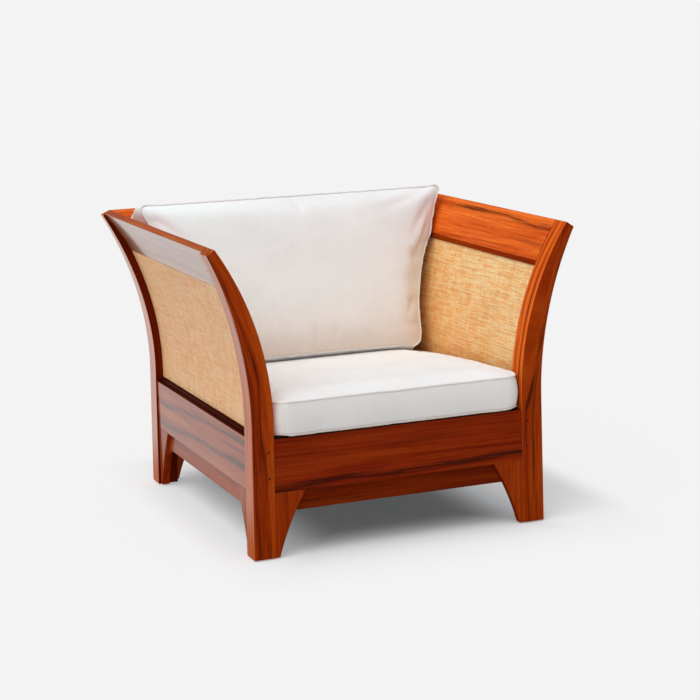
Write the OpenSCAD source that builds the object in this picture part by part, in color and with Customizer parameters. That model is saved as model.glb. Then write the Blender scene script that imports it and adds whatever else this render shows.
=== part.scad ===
// Lounge chair with flared arms and back: solid posts, woven raffia walls and two loose cushions.
// Millimetres. X runs to the sitter's left, Y from front to back, Z up. The origin is on the floor,
// in the middle of the chair's outline.

/* [Overall] */
// Width across the tops of the arms
overall_width = 1024; // [850:1:1250]
// Depth from the front face to the top of the back
overall_depth = 1010; // [840:1:1230]
// Height of the top edge
overall_height = 812; // [670:1:980]

/* [Flare] */
// Height at which posts and walls start to curve outwards
flare_start = 360; // [340:1:420]
// Lean of the inner faces at the top, in degrees
top_lean = 34; // [24:1:38]
// Distance that the legs step outwards again from the flare's start to the floor
foot_splay = 5; // [0:0.5:12]

/* [Posts] */
// Width of a post's face below the flare
post_face = 59; // [50:1:72]
// Depth of the front posts, from front to back
post_depth = 60; // [50:1:74]
// Thickness of a post at its top, measured across it
top_thickness = 26; // [20:1:34]

/* [Rails] */
// Height of the aprons' top edge
rail_top = 315; // [270:1:330]
// Height of an apron from edge to edge
rail_height = 140; // [110:1:168]
// Thickness of an apron
rail_thickness = 28; // [22:1:34]
// Distance that an apron lies behind the posts' faces
rail_setback = 3; // [1:0.5:8]
// Height of the lower rails
lower_rail_height = 55; // [40:1:70]
// Distance that a lower rail lies behind its apron's face
lower_rail_setback = 12; // [6:1:16]
// Length of an apron's tenon
tenon_length = 30; // [20:1:36]
// Thickness of every apron tenon
tenon_thickness = 10; // [6:1:14]
// Shoulder above and below an apron tenon
tenon_shoulder = 15; // [8:1:30]

/* [Leg brackets] */
// Width of a bracket under its apron
bracket_top_width = 86; // [60:1:110]
// Width of a bracket at the floor
bracket_foot_width = 12; // [6:1:20]
// Thickness of a bracket
bracket_thickness = 22; // [16:1:27]
// Radius of the hollow edge of a bracket
bracket_radius = 700; // [300:5:2000]

/* [Top rails and panels] */
// Height of the arm rails and of the crest, measured straight up
top_rail_height = 107; // [80:1:130]
// Thickness of the arm rails and of the crest
top_rail_thickness = 19; // [15:1:21]
// Thickness of a panel board
panel_board = 9; // [5:0.5:12]
// Thickness of a raffia sheet
raffia = 1.5; // [1:0.1:2.5]
// Depth of the grooves that hold the panel boards' ends
groove_depth = 6; // [3:0.5:8]
// Height of the beads that cover the raffia's edges
bead_height = 13; // [8:1:18]
// Thickness of the outer beads
bead_thickness = 8; // [5:0.5:11]

/* [Seat] */
// Height of the slats' upper face behind the front apron
deck_height = 316; // [280:1:340]
// Slope of the slats down to the back, in degrees
seat_slope = 4; // [0:0.5:6]
// Number of slats
slat_count = 9; // [5:1:9]
// Width of a slat
slat_width = 66; // [50:1:72]
// Thickness of a slat
slat_thickness = 18; // [14:1:22]
// Width of the ledgers under the slats' ends
ledger_width = 25; // [20:1:32]
// Height of the ledgers
ledger_height = 30; // [24:1:36]
// Thickness of the bearer under the slats' middle
bearer_thickness = 28; // [22:1:36]
// Height of the bearer
bearer_height = 58; // [45:1:70]
// Leg of a triangular corner block
block_leg = 106; // [80:1:130]
// Height of a corner block
block_height = 45; // [30:1:48]

/* [Fixings] */
// Diameter of the pegs through the front tenons
peg_diameter = 6; // [4:0.5:8]
// Diameter of the slat screws
screw_diameter = 4; // [3:0.5:5]
// Diameter of the corner block bolts
bolt_diameter = 6; // [5:0.5:8]
// Diameter of a foot glide
glide_diameter = 26; // [18:1:36]
// Height of a foot glide
glide_height = 3; // [2:0.5:6]
// Play of tenons, tongues and pegs in their holes
joint_gap = 0.1; // [0.05:0.05:0.4]

/* [Cushions] */
// Thickness of the seat cushion
seat_cushion_thickness = 104; // [84:1:134]
// Distance from the seat cushion's rear edge to the back panel
seat_end_gap = 8; // [3:1:30]
// Thickness of the back cushion
back_cushion_thickness = 200; // [140:1:240]
// Lean of the back cushion, in degrees
back_lean = 17; // [12:1:20]
// Distance that the back cushion stands above the arms
back_cushion_rise = 35; // [0:1:60]
// Distance from the back cushion's lower corners to the posts beside them
back_side_gap = 20; // [8:1:60]
// Clearance of the cushions from what they lie on and between
cushion_gap = 0.5; // [0.3:0.1:3]

/* [Hidden] */
// Profile coordinates: u runs outwards from the inner face of the plumb post, v runs up.
flare_height = overall_height - flare_start;
arc_in = flare_height / sin(top_lean);
inner_top = [arc_in * (1 - cos(top_lean)), overall_height];
outer_top = inner_top + top_thickness * [cos(top_lean), -sin(top_lean)];
out_reach = outer_top[0] - post_face;
out_rise = outer_top[1] - flare_start;
arc_out = (out_reach * out_reach + out_rise * out_rise) / (2 * out_reach);
rail_lean = asin((flare_height - top_rail_height) / arc_in);

// Places of the plumb inner faces, and of the front
inner_x = overall_width / 2 - outer_top[0];
inner_y = overall_depth / 2 - outer_top[0];
front_y = -overall_depth / 2;
post_back_y = front_y + post_depth;
far = overall_width + overall_depth;

// Aprons, seen from the outside in
rail_bottom = rail_top - rail_height;
lower_rail_bottom = rail_bottom - lower_rail_height;
lower_rail_thickness = rail_thickness - lower_rail_setback;
rail_out_u = post_face - rail_setback;
rail_in_u = rail_out_u - rail_thickness;
rail_front_y = front_y + rail_setback;
rail_back_y = rail_front_y + rail_thickness;
rear_bracket_y = inner_y + rail_out_u - bracket_thickness;
tenon_low = rail_bottom + tenon_shoulder;
tenon_high = rail_top - tenon_shoulder;
tenon_middle_u = (rail_in_u + rail_out_u) / 2;

// Panels, as distances inwards from the posts' outer curve. A panel comes up flush with the outer
// face of the rail above it.
panel_setback = wall_depth(rail_lean, 0) - top_rail_thickness;
raffia_out = [panel_setback, panel_setback + raffia];
board_span = [raffia_out[1], raffia_out[1] + panel_board];
raffia_in = [board_span[1], board_span[1] + raffia];
panel_in_u = post_face - raffia_in[1];

// Stub tenons of the top rails. In a rear post the arm's tenon is above and the crest's below, with
// a gap between them. The shoulder and the gap are angles of the flare.
stub_span = [5, 13];
stub_length = 15;
stub_shoulder = 1.2;
stub_gap = 0.6;
rail_mid_lean = (rail_lean + top_lean) / 2;

// Seat
deck_front_y = rail_back_y;
deck_back_y = inner_y + rail_in_u;
cushion_side_gap = 3;
slat_drop = slat_thickness / cos(seat_slope);
slat_pitch = (2 * inner_x - 2 * cushion_side_gap - slat_width) / (slat_count - 1);
bearer_y = (deck_front_y + deck_back_y) / 2;
ledger_screw_inset = 12;
screw_length = 34;
screw_sink = 1;
block_rise = 20;
block_bottom = lower_rail_bottom + block_rise;
block_middle = block_bottom + block_height / 2;
peg_inset = 16;
peg_heights = [rail_top - 31, rail_bottom + 40];
peg_length = 40;
bolt_bite = 24;
washer = 1.5;
bolt_head = 0.7 * bolt_diameter;
pin_length = 14;
pin_radius = 1.5;
bearer_housing = 8;
bead_inset = 1;
bead_lip = 3;
bead_bevel = 4;

// Cushions
seat_corner = 24;
back_corner = 30;
seat_front_overhang = rail_thickness - 1;
arc_fn = 256;

wood = "#7a2b10";
pale_wood = "#b98a5a";
raffia_colour = "#e3b878";
linen = "#ece9e4";
steel = "#9a9a9a";
nylon = "#3a3632";

SLATS = [for (i = [1 : slat_count]) str("seat_slat_", i)];

// ---- helpers -------------------------------------------------------------------------------

// Step outwards of a plumb face at height v below the flare
function splay(v) = foot_splay * (1 - v / flare_start);
// Height of the slats' upper face at depth y
function deck_z(y) = deck_height - (y - deck_front_y) * tan(seat_slope);
// Height of the seat cushion's upper face at depth y
function seat_top(y) = deck_z(y) + (cushion_gap + seat_cushion_thickness) / cos(seat_slope);
// Depth behind the inner face, where that face leans by a, at which the outer curve is d away
function wall_depth(a, d) =
    let (to_centre = [post_face + arc_out - arc_in * (1 - cos(a)), -arc_in * sin(a)],
        along = to_centre * [cos(a), -sin(a)])
    along - sqrt(along * along - to_centre * to_centre + pow(arc_out + d, 2));
// Point at depth t behind the inner face, where that face leans by a
function wall_point(a, t) = [arc_in - (arc_in - t) * cos(a), flare_start + (arc_in - t) * sin(a)];
// Angle of the flare that an inner arc of length s turns through
function arc_lean(s) = s / arc_in * 180 / PI;
// Middle of slat i
function slat_x(i) = (i - (slat_count - 1) / 2) * slat_pitch;

// Draws a profile of X and Z from depth y0 to y1
module along_y(y0, y1) {
    translate([0, y1, 0]) rotate([90, 0, 0]) linear_extrude(y1 - y0) children();
}

// Draws a profile of Y and Z from x0 to x1
module along_x(x0, x1) {
    translate([x0, 0, 0]) rotate([90, 0, 90]) linear_extrude(x1 - x0) children();
}

// Draws its children on the right (1) or mirrored to the left (-1)
module on_side(side) {
    if (side < 0) mirror([1, 0, 0]) children();
    else children();
}

module at_wall_x() { translate([inner_x, 0]) children(); }
module at_wall_y() { translate([inner_y, 0]) children(); }

// ---- profiles of the flared wall -----------------------------------------------------------

module disc_in(r) { translate([arc_in, flare_start]) circle(r = r, $fn = arc_fn); }
module disc_out(r) { translate([post_face + arc_out, flare_start]) circle(r = r, $fn = arc_fn); }

// Sector of the flare between two leans of the inner face
module lean_sector(a0, a1) {
    translate([arc_in, flare_start])
        polygon([[0, 0], 2 * arc_in * [-cos(a0), sin(a0)], 2 * arc_in * [-cos(a1), sin(a1)]]);
}

// A post seen along the wall: splayed leg, then two arcs that close up towards the top
module post_profile() {
    polygon([[splay(glide_height), glide_height], [post_face + splay(glide_height), glide_height],
        [post_face, flare_start], [0, flare_start]]);
    difference() {
        intersection() {
            disc_in(arc_in);
            lean_sector(0, top_lean);
        }
        disc_out(arc_out);
    }
}

// Everything on the sitter's side of the inner face, moved outwards by e
module inside(e) {
    difference() {
        polygon([[-far, 0], [splay(0) + e, 0], [e, flare_start], [arc_in, flare_start],
            [arc_in, overall_height + far], [-far, overall_height + far]]);
        intersection() {
            disc_in(arc_in - e);
            translate([0, flare_start]) square([2 * arc_in, 2 * arc_in]);
        }
    }
}

// The space between the two arm walls, in X and Z, widened by e on each side
module between_arms(e) {
    intersection() {
        at_wall_x() inside(e);
        mirror([1, 0]) at_wall_x() inside(e);
    }
}

// A board that follows the inner face, from depth e0 to e1 and between two leans
module bent_board(e0, e1, a0, a1) {
    intersection() {
        difference() {
            disc_in(arc_in - e0);
            disc_in(arc_in - e1);
        }
        lean_sector(a0, a1);
    }
}

// A sheet that follows the outer face, from distance span[0] to span[1] inside it
module panel_profile(span) {
    translate([post_face - span[1], rail_top]) square([span[1] - span[0], flare_start - rail_top]);
    intersection() {
        difference() {
            disc_out(arc_out + span[1]);
            disc_out(arc_out + span[0]);
        }
        lean_sector(0, rail_lean);
    }
}

// Sloping bead in the corner under a top rail, on the sitter's side of the panel
module top_bead_profile() {
    low_lean = rail_lean - arc_lean(bead_height);
    back = raffia_in[1] + joint_gap / 2;
    polygon([wall_point(rail_lean, bead_inset), wall_point(rail_lean, wall_depth(rail_lean, back)),
        wall_point(low_lean, wall_depth(low_lean, back)), wall_point(low_lean, bead_inset + bead_bevel),
        wall_point(rail_lean - arc_lean(bead_lip), bead_inset)]);
}

// Bead on an apron's top edge, on the outside
module bottom_bead_profile() {
    u = post_face - panel_setback;
    polygon([[u, rail_top], [u + bead_thickness, rail_top],
        [u + bead_thickness, rail_top + bead_height - bead_bevel],
        [u + bead_thickness - bead_bevel, rail_top + bead_height], [u, rail_top + bead_height]]);
}

// ---- sheets and boards of one wall ----------------------------------------------------------

// A profile that runs along an arm wall between the posts, with tongues of length e
module arm_wall(e) {
    intersection() {
        along_y(post_back_y - e, far) at_wall_x() children();
        along_x(0, far) at_wall_y() inside(e);
    }
}

// A profile that runs along the back wall between the rear posts, with tongues of length e
module back_wall(e) {
    intersection() {
        along_x(-far, far) at_wall_y() children();
        along_y(0, far) between_arms(e);
    }
}

// Profile of a stub tenon between two leans
module stub_profile(play, a0, a1) {
    bent_board(stub_span[0] - play, stub_span[1] + play, a0 - arc_lean(play), a1 + arc_lean(play));
}

// Stub tenons of an arm rail: whole height at the front post, upper half at the rear post
module arm_stubs(play) {
    along_y(post_back_y - stub_length - play, post_back_y + stub_length) at_wall_x()
        stub_profile(play, rail_lean + stub_shoulder, top_lean - stub_shoulder);
    intersection() {
        along_y(0, far) at_wall_x()
            stub_profile(play, rail_mid_lean + stub_gap / 2, top_lean - stub_shoulder);
        along_x(0, far) at_wall_y() inside(stub_length + play);
    }
}

// Stub tenons of the crest: lower half, so that they pass under those of the arms
module crest_stubs(play) {
    intersection() {
        along_x(-far, far) at_wall_y()
            stub_profile(play, rail_lean + stub_shoulder, rail_mid_lean - stub_gap / 2);
        along_y(0, far) between_arms(stub_length + play);
    }
}

// ---- joints of the aprons --------------------------------------------------------------------

// Size of an apron tenon that starts inside the rail's body
function tenon_size(reach, play) =
    [reach + play, tenon_thickness + 2 * play, tenon_high - tenon_low + 2 * play];

// Tenon block of the front apron's right end
module front_tenon(play) {
    y = rail_front_y + (rail_thickness - tenon_thickness) / 2;
    translate([inner_x - foot_splay, y - play, tenon_low - play])
        cube(tenon_size(foot_splay + tenon_length, play));
}

// Tenon block of the rear apron's right end
module rear_tenon(play) {
    y = inner_y + tenon_middle_u - tenon_thickness / 2;
    translate([inner_x - foot_splay, y - play, tenon_low - play])
        cube(tenon_size(foot_splay + tenon_length, play));
}

// Tenon blocks of the right apron's two ends
module side_tenons(play) {
    size = tenon_size(foot_splay + tenon_length, play);
    translate([inner_x + tenon_middle_u - tenon_thickness / 2 - play, 0, tenon_low - play]) {
        translate([0, post_back_y - tenon_length - play, 0]) cube([size[1], size[0], size[2]]);
        translate([0, inner_y - foot_splay, 0]) cube([size[1], size[0], size[2]]);
    }
}

// Pegs of the right front joint
module pegs(play) {
    for (z = peg_heights)
        translate([inner_x + peg_inset, front_y, z]) rotate([-90, 0, 0])
            cylinder(h = peg_length, r = peg_diameter / 2 + play, $fn = 48);
}

// Shank of a corner block's bolt, from the origin along +X
module bolt(play) {
    rotate([0, 90, 0])
        cylinder(h = block_leg / sqrt(8) + bolt_bite + play, r = bolt_diameter / 2 + play, $fn = 48);
}

// Places a bolt in the right corner of the front (1) or of the rear (-1)
module at_block(end) {
    x = inner_x + rail_in_u - block_leg / 2;
    y = end > 0 ? deck_front_y + block_leg / 2 : deck_back_y - block_leg / 2;
    translate([x, y, block_middle]) rotate([0, 0, -45 * end]) children();
}

// A screw through slat i at depth y, from just under the slat's upper face
module slat_screw(i, y, play) {
    translate([slat_x(i), y, deck_z(y) - screw_sink - screw_length])
        cylinder(h = screw_length, r = screw_diameter / 2 + play, $fn = 24);
    translate([slat_x(i), y, deck_z(y) - screw_sink - screw_diameter / 2])
        cylinder(h = screw_diameter / 2, r1 = screw_diameter / 2 + play, r2 = screw_diameter + play,
            $fn = 24);
}

// Every screw of slat i, with the way above its head when play is more than 0
module slat_fixings(i, play) {
    for (y = [deck_front_y + ledger_screw_inset, bearer_y, deck_back_y - ledger_screw_inset]) {
        slat_screw(i, y, play);
        if (play > 0)
            translate([slat_x(i), y, deck_z(y) - screw_sink])
                cylinder(h = 3 * screw_sink, r = screw_diameter + play, $fn = 24);
    }
}

// ---- posts -----------------------------------------------------------------------------------

// Middle of the right foot of the front (1) or rear (-1) post
function foot_place(end) = [inner_x + splay(0) + post_face / 2,
    end > 0 ? front_y + post_depth / 2 : inner_y + splay(0) + post_face / 2, 0];

// Pin of a foot glide
module glide_pin(end, play) {
    translate(foot_place(end)) cylinder(h = pin_length + play, r = pin_radius + play, $fn = 24);
}

module front_post(side) {
    color(wood) on_side(side) difference() {
        along_y(front_y, post_back_y) at_wall_x() post_profile();
        front_tenon(joint_gap);
        side_tenons(joint_gap);
        arm_stubs(joint_gap);
        along_y(post_back_y - groove_depth - joint_gap, post_back_y + 1) at_wall_x()
            panel_profile([board_span[0] - joint_gap, board_span[1] + joint_gap]);
        pegs(joint_gap);
        at_block(1) bolt(joint_gap);
        glide_pin(1, joint_gap);
    }
}

// The rear posts curve outwards both ways, so each is where two post profiles cross
module rear_post(side) {
    color(wood) on_side(side) difference() {
        intersection() {
            along_y(0, far) at_wall_x() post_profile();
            along_x(0, far) at_wall_y() post_profile();
        }
        rear_tenon(joint_gap);
        side_tenons(joint_gap);
        arm_stubs(joint_gap);
        crest_stubs(joint_gap);
        arm_wall(groove_depth + joint_gap)
            panel_profile([board_span[0] - joint_gap, board_span[1] + joint_gap]);
        back_wall(groove_depth + joint_gap)
            panel_profile([board_span[0] - joint_gap, board_span[1] + joint_gap]);
        at_block(-1) bolt(joint_gap);
        glide_pin(-1, joint_gap);
    }
}

// ---- aprons, lower rails and brackets ----------------------------------------------------------

// Outline of a rail between two posts whose inner faces splay, from height z0 to z1, in X and Z
module rail_outline(z0, z1) {
    polygon([[-inner_x - splay(z0), z0], [inner_x + splay(z0), z0],
        [inner_x + splay(z1), z1], [-inner_x - splay(z1), z1]]);
}

// The same for a side, in Y and Z
module side_rail_outline(z0, z1) {
    polygon([[post_back_y, z0], [inner_y + splay(z0), z0], [inner_y + splay(z1), z1], [post_back_y, z1]]);
}

module front_rail() {
    color(wood) difference() {
        union() {
            along_y(rail_front_y, rail_back_y) rail_outline(rail_bottom, rail_top);
            for (side = [-1, 1]) on_side(side) front_tenon(0);
        }
        for (side = [-1, 1]) on_side(side) pegs(joint_gap);
    }
}

module rear_rail() {
    color(wood) {
        along_y(inner_y + rail_in_u, inner_y + rail_out_u) rail_outline(rail_bottom, rail_top);
        for (side = [-1, 1]) on_side(side) rear_tenon(0);
    }
}

module side_rail(side) {
    color(wood) on_side(side) difference() {
        union() {
            along_x(inner_x + rail_in_u, inner_x + rail_out_u) side_rail_outline(rail_bottom, rail_top);
            side_tenons(0);
        }
        bearer_bar(joint_gap);
    }
}

// Outline of a bracket in profile coordinates: the post's face is at u = 0 and the bracket grows to -u
module bracket_profile(face_splay) {
    low = face_splay * (1 - glide_height / flare_start);
    high = face_splay * (1 - rail_bottom / flare_start);
    tip = [high - bracket_top_width, rail_bottom];
    toe = [low - bracket_foot_width, glide_height];
    chord = tip - toe;
    middle = (tip + toe) / 2;
    hollow_side = [-chord[1], chord[0]] / norm(chord);
    lift = sqrt(bracket_radius * bracket_radius - pow(norm(chord) / 2, 2));
    difference() {
        polygon([[low, glide_height], [high, rail_bottom], tip, toe]);
        translate(middle + lift * hollow_side) circle(r = bracket_radius, $fn = arc_fn);
    }
}

// Brackets beside the front post and the rear post, drawn in Y and Z
module front_side_bracket_outline() { translate([post_back_y, 0]) mirror([1, 0]) bracket_profile(0); }
module rear_side_bracket_outline() { translate([inner_y, 0]) bracket_profile(foot_splay); }

// Bracket under the front or rear apron, whose foremost face lies at y0
module face_bracket(side, y0) {
    color(wood) on_side(side)
        along_y(y0, y0 + bracket_thickness) at_wall_x() bracket_profile(foot_splay);
}

module side_bracket(side, end) {
    color(wood) on_side(side) along_x(inner_x + rail_out_u - bracket_thickness, inner_x + rail_out_u) {
        if (end > 0) front_side_bracket_outline();
        else rear_side_bracket_outline();
    }
}

// The ends of a lower rail butt the hollow edges of the brackets
module face_lower_rail(y0) {
    reach = inner_x - bracket_foot_width;
    color(wood) along_y(y0, y0 + lower_rail_thickness) difference() {
        translate([-reach, lower_rail_bottom]) square([2 * reach, lower_rail_height]);
        at_wall_x() bracket_profile(foot_splay);
        mirror([1, 0]) at_wall_x() bracket_profile(foot_splay);
    }
}

module side_lower_rail(side) {
    start = post_back_y + bracket_foot_width;
    reach = inner_y - bracket_foot_width - start;
    x0 = inner_x + rail_in_u;
    color(wood) on_side(side) along_x(x0, x0 + lower_rail_thickness) difference() {
        translate([start, lower_rail_bottom]) square([reach, lower_rail_height]);
        front_side_bracket_outline();
        rear_side_bracket_outline();
    }
}

// ---- top rails ---------------------------------------------------------------------------------

module arm_rail(side) {
    color(wood) on_side(side) {
        arm_wall(0) bent_board(0, top_rail_thickness, rail_lean, top_lean);
        arm_stubs(0);
    }
}

module crest_rail() {
    color(wood) {
        back_wall(0) bent_board(0, top_rail_thickness, rail_lean, top_lean);
        crest_stubs(0);
    }
}

// ---- panels and beads --------------------------------------------------------------------------

// A layer of an arm's panel, whose ends reach into the posts by the tongue
module arm_sheet(side, span, tongue, colour) {
    color(colour) on_side(side) arm_wall(tongue) panel_profile(span);
}

module back_sheet(span, tongue, colour) {
    color(colour) back_wall(tongue) panel_profile(span);
}

module arm_top_bead(side) { color(wood) on_side(side) arm_wall(0) top_bead_profile(); }
module back_top_bead() { color(wood) back_wall(0) top_bead_profile(); }
module arm_bottom_bead(side) { color(wood) on_side(side) arm_wall(0) bottom_bead_profile(); }
module back_bottom_bead() { color(wood) back_wall(0) bottom_bead_profile(); }

// ---- seat --------------------------------------------------------------------------------------

// Outline in Y and Z whose top follows the slats' underside, from y0 to y1 and down to height z
module under_deck(y0, y1, z) {
    polygon([[y0, z], [y1, z], [y1, deck_z(y1) - slat_drop], [y0, deck_z(y0) - slat_drop]]);
}

// Ledger from y0 to y1 on the apron at depth y_rail
module ledger(y0, y1, y_rail) {
    color(pale_wood) difference() {
        along_x(-inner_x + cushion_side_gap, inner_x - cushion_side_gap)
            under_deck(y0, y1, deck_z(y_rail) - slat_drop - ledger_height);
        for (i = [0 : slat_count - 1]) slat_fixings(i, joint_gap);
    }
}

module front_ledger() { ledger(deck_front_y, deck_front_y + ledger_width, deck_front_y); }
module rear_ledger() { ledger(deck_back_y - ledger_width, deck_back_y, deck_back_y); }

// The bearer's ends are housed in the side aprons
module bearer_bar(play) {
    reach = inner_x + rail_in_u + bearer_housing + play;
    along_x(-reach, reach) translate([0, play])
        under_deck(bearer_y - bearer_thickness / 2 - play, bearer_y + bearer_thickness / 2 + play,
            deck_z(bearer_y) - slat_drop - bearer_height - 2 * play);
}

module seat_bearer() {
    color(pale_wood) difference() {
        bearer_bar(0);
        for (i = [0 : slat_count - 1]) slat_fixings(i, joint_gap);
    }
}

module seat_slat(i) {
    y0 = deck_front_y + cushion_gap;
    y1 = deck_back_y - cushion_gap;
    color(pale_wood) difference() {
        along_x(slat_x(i) - slat_width / 2, slat_x(i) + slat_width / 2)
            polygon([[y0, deck_z(y0) - slat_drop], [y1, deck_z(y1) - slat_drop],
                [y1, deck_z(y1)], [y0, deck_z(y0)]]);
        slat_fixings(i, joint_gap);
    }
}

// Corner block at the right of the front (1) or rear (-1), notched round the post
module corner_block(side, end) {
    post_x = inner_x + splay(block_bottom + block_height);
    rail_x = inner_x + rail_in_u;
    rail_y = end > 0 ? deck_front_y : deck_back_y;
    post_y = end > 0 ? post_back_y : inner_y + splay(block_bottom + block_height);
    color(pale_wood) on_side(side) difference() {
        translate([0, 0, block_bottom]) linear_extrude(block_height)
            polygon([[rail_x - block_leg, rail_y], [post_x, rail_y], [post_x, post_y], [rail_x, post_y],
                [rail_x, rail_y + end * block_leg]]);
        at_block(end) bolt(joint_gap);
    }
}

// ---- fixings -----------------------------------------------------------------------------------

module front_joint_pegs() {
    color("#4a1a0a") for (side = [-1, 1]) on_side(side) pegs(0);
}

module slat_screws() {
    color(steel) for (i = [0 : slat_count - 1]) slat_fixings(i, 0);
}

module corner_bolts() {
    color(steel) for (side = [-1, 1], end = [-1, 1]) on_side(side) at_block(end) {
        bolt(0);
        translate([-washer, 0, 0]) rotate([0, 90, 0])
            cylinder(h = washer, r = 1.5 * bolt_diameter, $fn = 48);
        translate([-washer - bolt_head, 0, 0]) rotate([0, 90, 0])
            cylinder(h = bolt_head, r = 0.9 * bolt_diameter, $fn = 6);
    }
}

module foot_glides() {
    color(nylon) for (side = [-1, 1], end = [-1, 1]) on_side(side) {
        translate(foot_place(end)) cylinder(h = glide_height, r = glide_diameter / 2, $fn = 64);
        glide_pin(end, 0);
    }
}

// ---- cushions ----------------------------------------------------------------------------------

module seat_cushion() {
    half = inner_x - cushion_side_gap - seat_corner;
    front = -seat_front_overhang + seat_corner;
    back = (inner_y + panel_in_u - seat_end_gap - deck_front_y) / cos(seat_slope) - seat_corner;
    color(linen) translate([0, deck_front_y, deck_height]) rotate([-seat_slope, 0, 0]) hull()
        for (x = [-half, half], y = [front, back], z = [cushion_gap + seat_corner,
            cushion_gap + seat_cushion_thickness - seat_corner])
            translate([x, y, z]) sphere(r = seat_corner, $fn = 24);
}

// Half width that a straight side can reach at height z1 from half width w at height z0, so that
// balls of radius r along it clear the flared walls
function clear_half(w, z0, z1, r) =
    let (to_centre = [inner_x + arc_in - w, flare_start - z0],
        slope = atan2(to_centre[1], to_centre[0]) + asin((arc_in + r) / norm(to_centre)))
    w + (z1 - z0) / tan(slope);

// Foot of a line that leans back from depth y at the flare's start, at distance c above the seat
// cushion: its depth and its height
function cushion_foot(y, c) =
    let (rise = seat_top(y - flare_start * tan(back_lean)) + c,
        z = rise / (1 + tan(seat_slope) * tan(back_lean)))
    [y + (z - flare_start) * tan(back_lean), z];

// The back cushion stands on the seat cushion, leans on the back wall and fits between the arms
module back_cushion() {
    ball = back_corner + cushion_gap;
    thick = back_cushion_thickness - 2 * back_corner;
    rear_line = inner_y + arc_in - (arc_in + ball) / cos(back_lean);
    front_foot = cushion_foot(rear_line - thick / cos(back_lean), ball);
    rear_foot = cushion_foot(rear_line, ball);
    top_z = overall_height + back_cushion_rise - back_corner;
    front_top = front_foot + (top_z - front_foot[1]) * [tan(back_lean), 1];
    rear_top = front_top + thick * [cos(back_lean), -sin(back_lean)];
    half_low = inner_x - back_side_gap - back_corner;
    half_top = clear_half(half_low, rear_foot[1], top_z, ball);
    rear_share = (rear_top[1] - rear_foot[1]) / (top_z - rear_foot[1]);
    half_rear_top = half_low + (half_top - half_low) * rear_share;
    color(linen) hull() for (side = [-1, 1]) {
        for (foot = [front_foot, rear_foot])
            translate([side * half_low, foot[0], foot[1]]) sphere(r = back_corner, $fn = 24);
        translate([side * half_top, front_top[0], front_top[1]]) sphere(r = back_corner, $fn = 24);
        translate([side * half_rear_top, rear_top[0], rear_top[1]]) sphere(r = back_corner, $fn = 24);
    }
}

// ---- nodes -------------------------------------------------------------------------------------

front_post(-1);  // front_left_post
front_post(1);  // front_right_post
rear_post(-1);  // rear_left_post
rear_post(1);  // rear_right_post
front_rail();
rear_rail();
side_rail(-1);  // left_rail
side_rail(1);  // right_rail
face_lower_rail(rail_back_y - lower_rail_thickness);  // front_lower_rail
face_lower_rail(deck_back_y);  // rear_lower_rail
side_lower_rail(-1);  // left_lower_rail
side_lower_rail(1);  // right_lower_rail
face_bracket(-1, rail_front_y);  // front_left_bracket
face_bracket(1, rail_front_y);  // front_right_bracket
face_bracket(-1, rear_bracket_y);  // rear_left_bracket
face_bracket(1, rear_bracket_y);  // rear_right_bracket
side_bracket(-1, 1);  // left_front_bracket
side_bracket(-1, -1);  // left_rear_bracket
side_bracket(1, 1);  // right_front_bracket
side_bracket(1, -1);  // right_rear_bracket
arm_rail(-1);  // left_arm_rail
arm_rail(1);  // right_arm_rail
crest_rail();
arm_sheet(-1, board_span, groove_depth, pale_wood);  // left_panel_board
arm_sheet(1, board_span, groove_depth, pale_wood);  // right_panel_board
back_sheet(board_span, groove_depth, pale_wood);  // back_panel_board
arm_sheet(-1, raffia_out, 0, raffia_colour);  // left_raffia_outer
arm_sheet(-1, raffia_in, 0, raffia_colour);  // left_raffia_inner
arm_sheet(1, raffia_out, 0, raffia_colour);  // right_raffia_outer
arm_sheet(1, raffia_in, 0, raffia_colour);  // right_raffia_inner
back_sheet(raffia_out, 0, raffia_colour);  // back_raffia_outer
back_sheet(raffia_in, 0, raffia_colour);  // back_raffia_inner
arm_top_bead(-1);  // left_top_bead
arm_top_bead(1);  // right_top_bead
back_top_bead();
arm_bottom_bead(-1);  // left_bottom_bead
arm_bottom_bead(1);  // right_bottom_bead
back_bottom_bead();
front_ledger();
rear_ledger();
seat_bearer();
corner_block(-1, 1);  // front_left_corner_block
corner_block(1, 1);  // front_right_corner_block
corner_block(-1, -1);  // rear_left_corner_block
corner_block(1, -1);  // rear_right_corner_block
front_joint_pegs();
slat_screws();
corner_bolts();
foot_glides();
seat_cushion();
back_cushion();
for (i = [0 : slat_count - 1]) seat_slat(i);
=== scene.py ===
# %% [markdown]
# # A flared lounge chair
# The real chair is solid hardwood under clear lacquer, with bent walls of woven raffia and two loose
# linen cushions. Its shape could be modelled here a second time, but the CAD frame already gives every
# piece its shape, size and place. So this lesson only gives each piece its finish: eased edges and
# grain on the wood, real strands in the weave, and filled covers with piping for the cushions.

# %% Load the frame
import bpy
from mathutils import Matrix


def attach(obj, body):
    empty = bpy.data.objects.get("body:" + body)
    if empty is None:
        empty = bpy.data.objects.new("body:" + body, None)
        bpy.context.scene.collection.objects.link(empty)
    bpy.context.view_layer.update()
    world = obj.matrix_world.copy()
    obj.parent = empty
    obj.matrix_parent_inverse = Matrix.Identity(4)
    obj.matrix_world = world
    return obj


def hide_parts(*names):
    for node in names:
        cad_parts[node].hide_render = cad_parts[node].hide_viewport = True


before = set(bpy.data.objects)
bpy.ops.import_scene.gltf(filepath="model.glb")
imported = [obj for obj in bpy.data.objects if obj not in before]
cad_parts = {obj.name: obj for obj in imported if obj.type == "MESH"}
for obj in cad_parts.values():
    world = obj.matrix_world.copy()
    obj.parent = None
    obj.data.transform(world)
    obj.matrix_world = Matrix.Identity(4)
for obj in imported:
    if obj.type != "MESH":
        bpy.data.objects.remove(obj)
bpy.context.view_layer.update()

import math

import bmesh
import bpy
import numpy as np
from mathutils import Matrix, Vector

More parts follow.
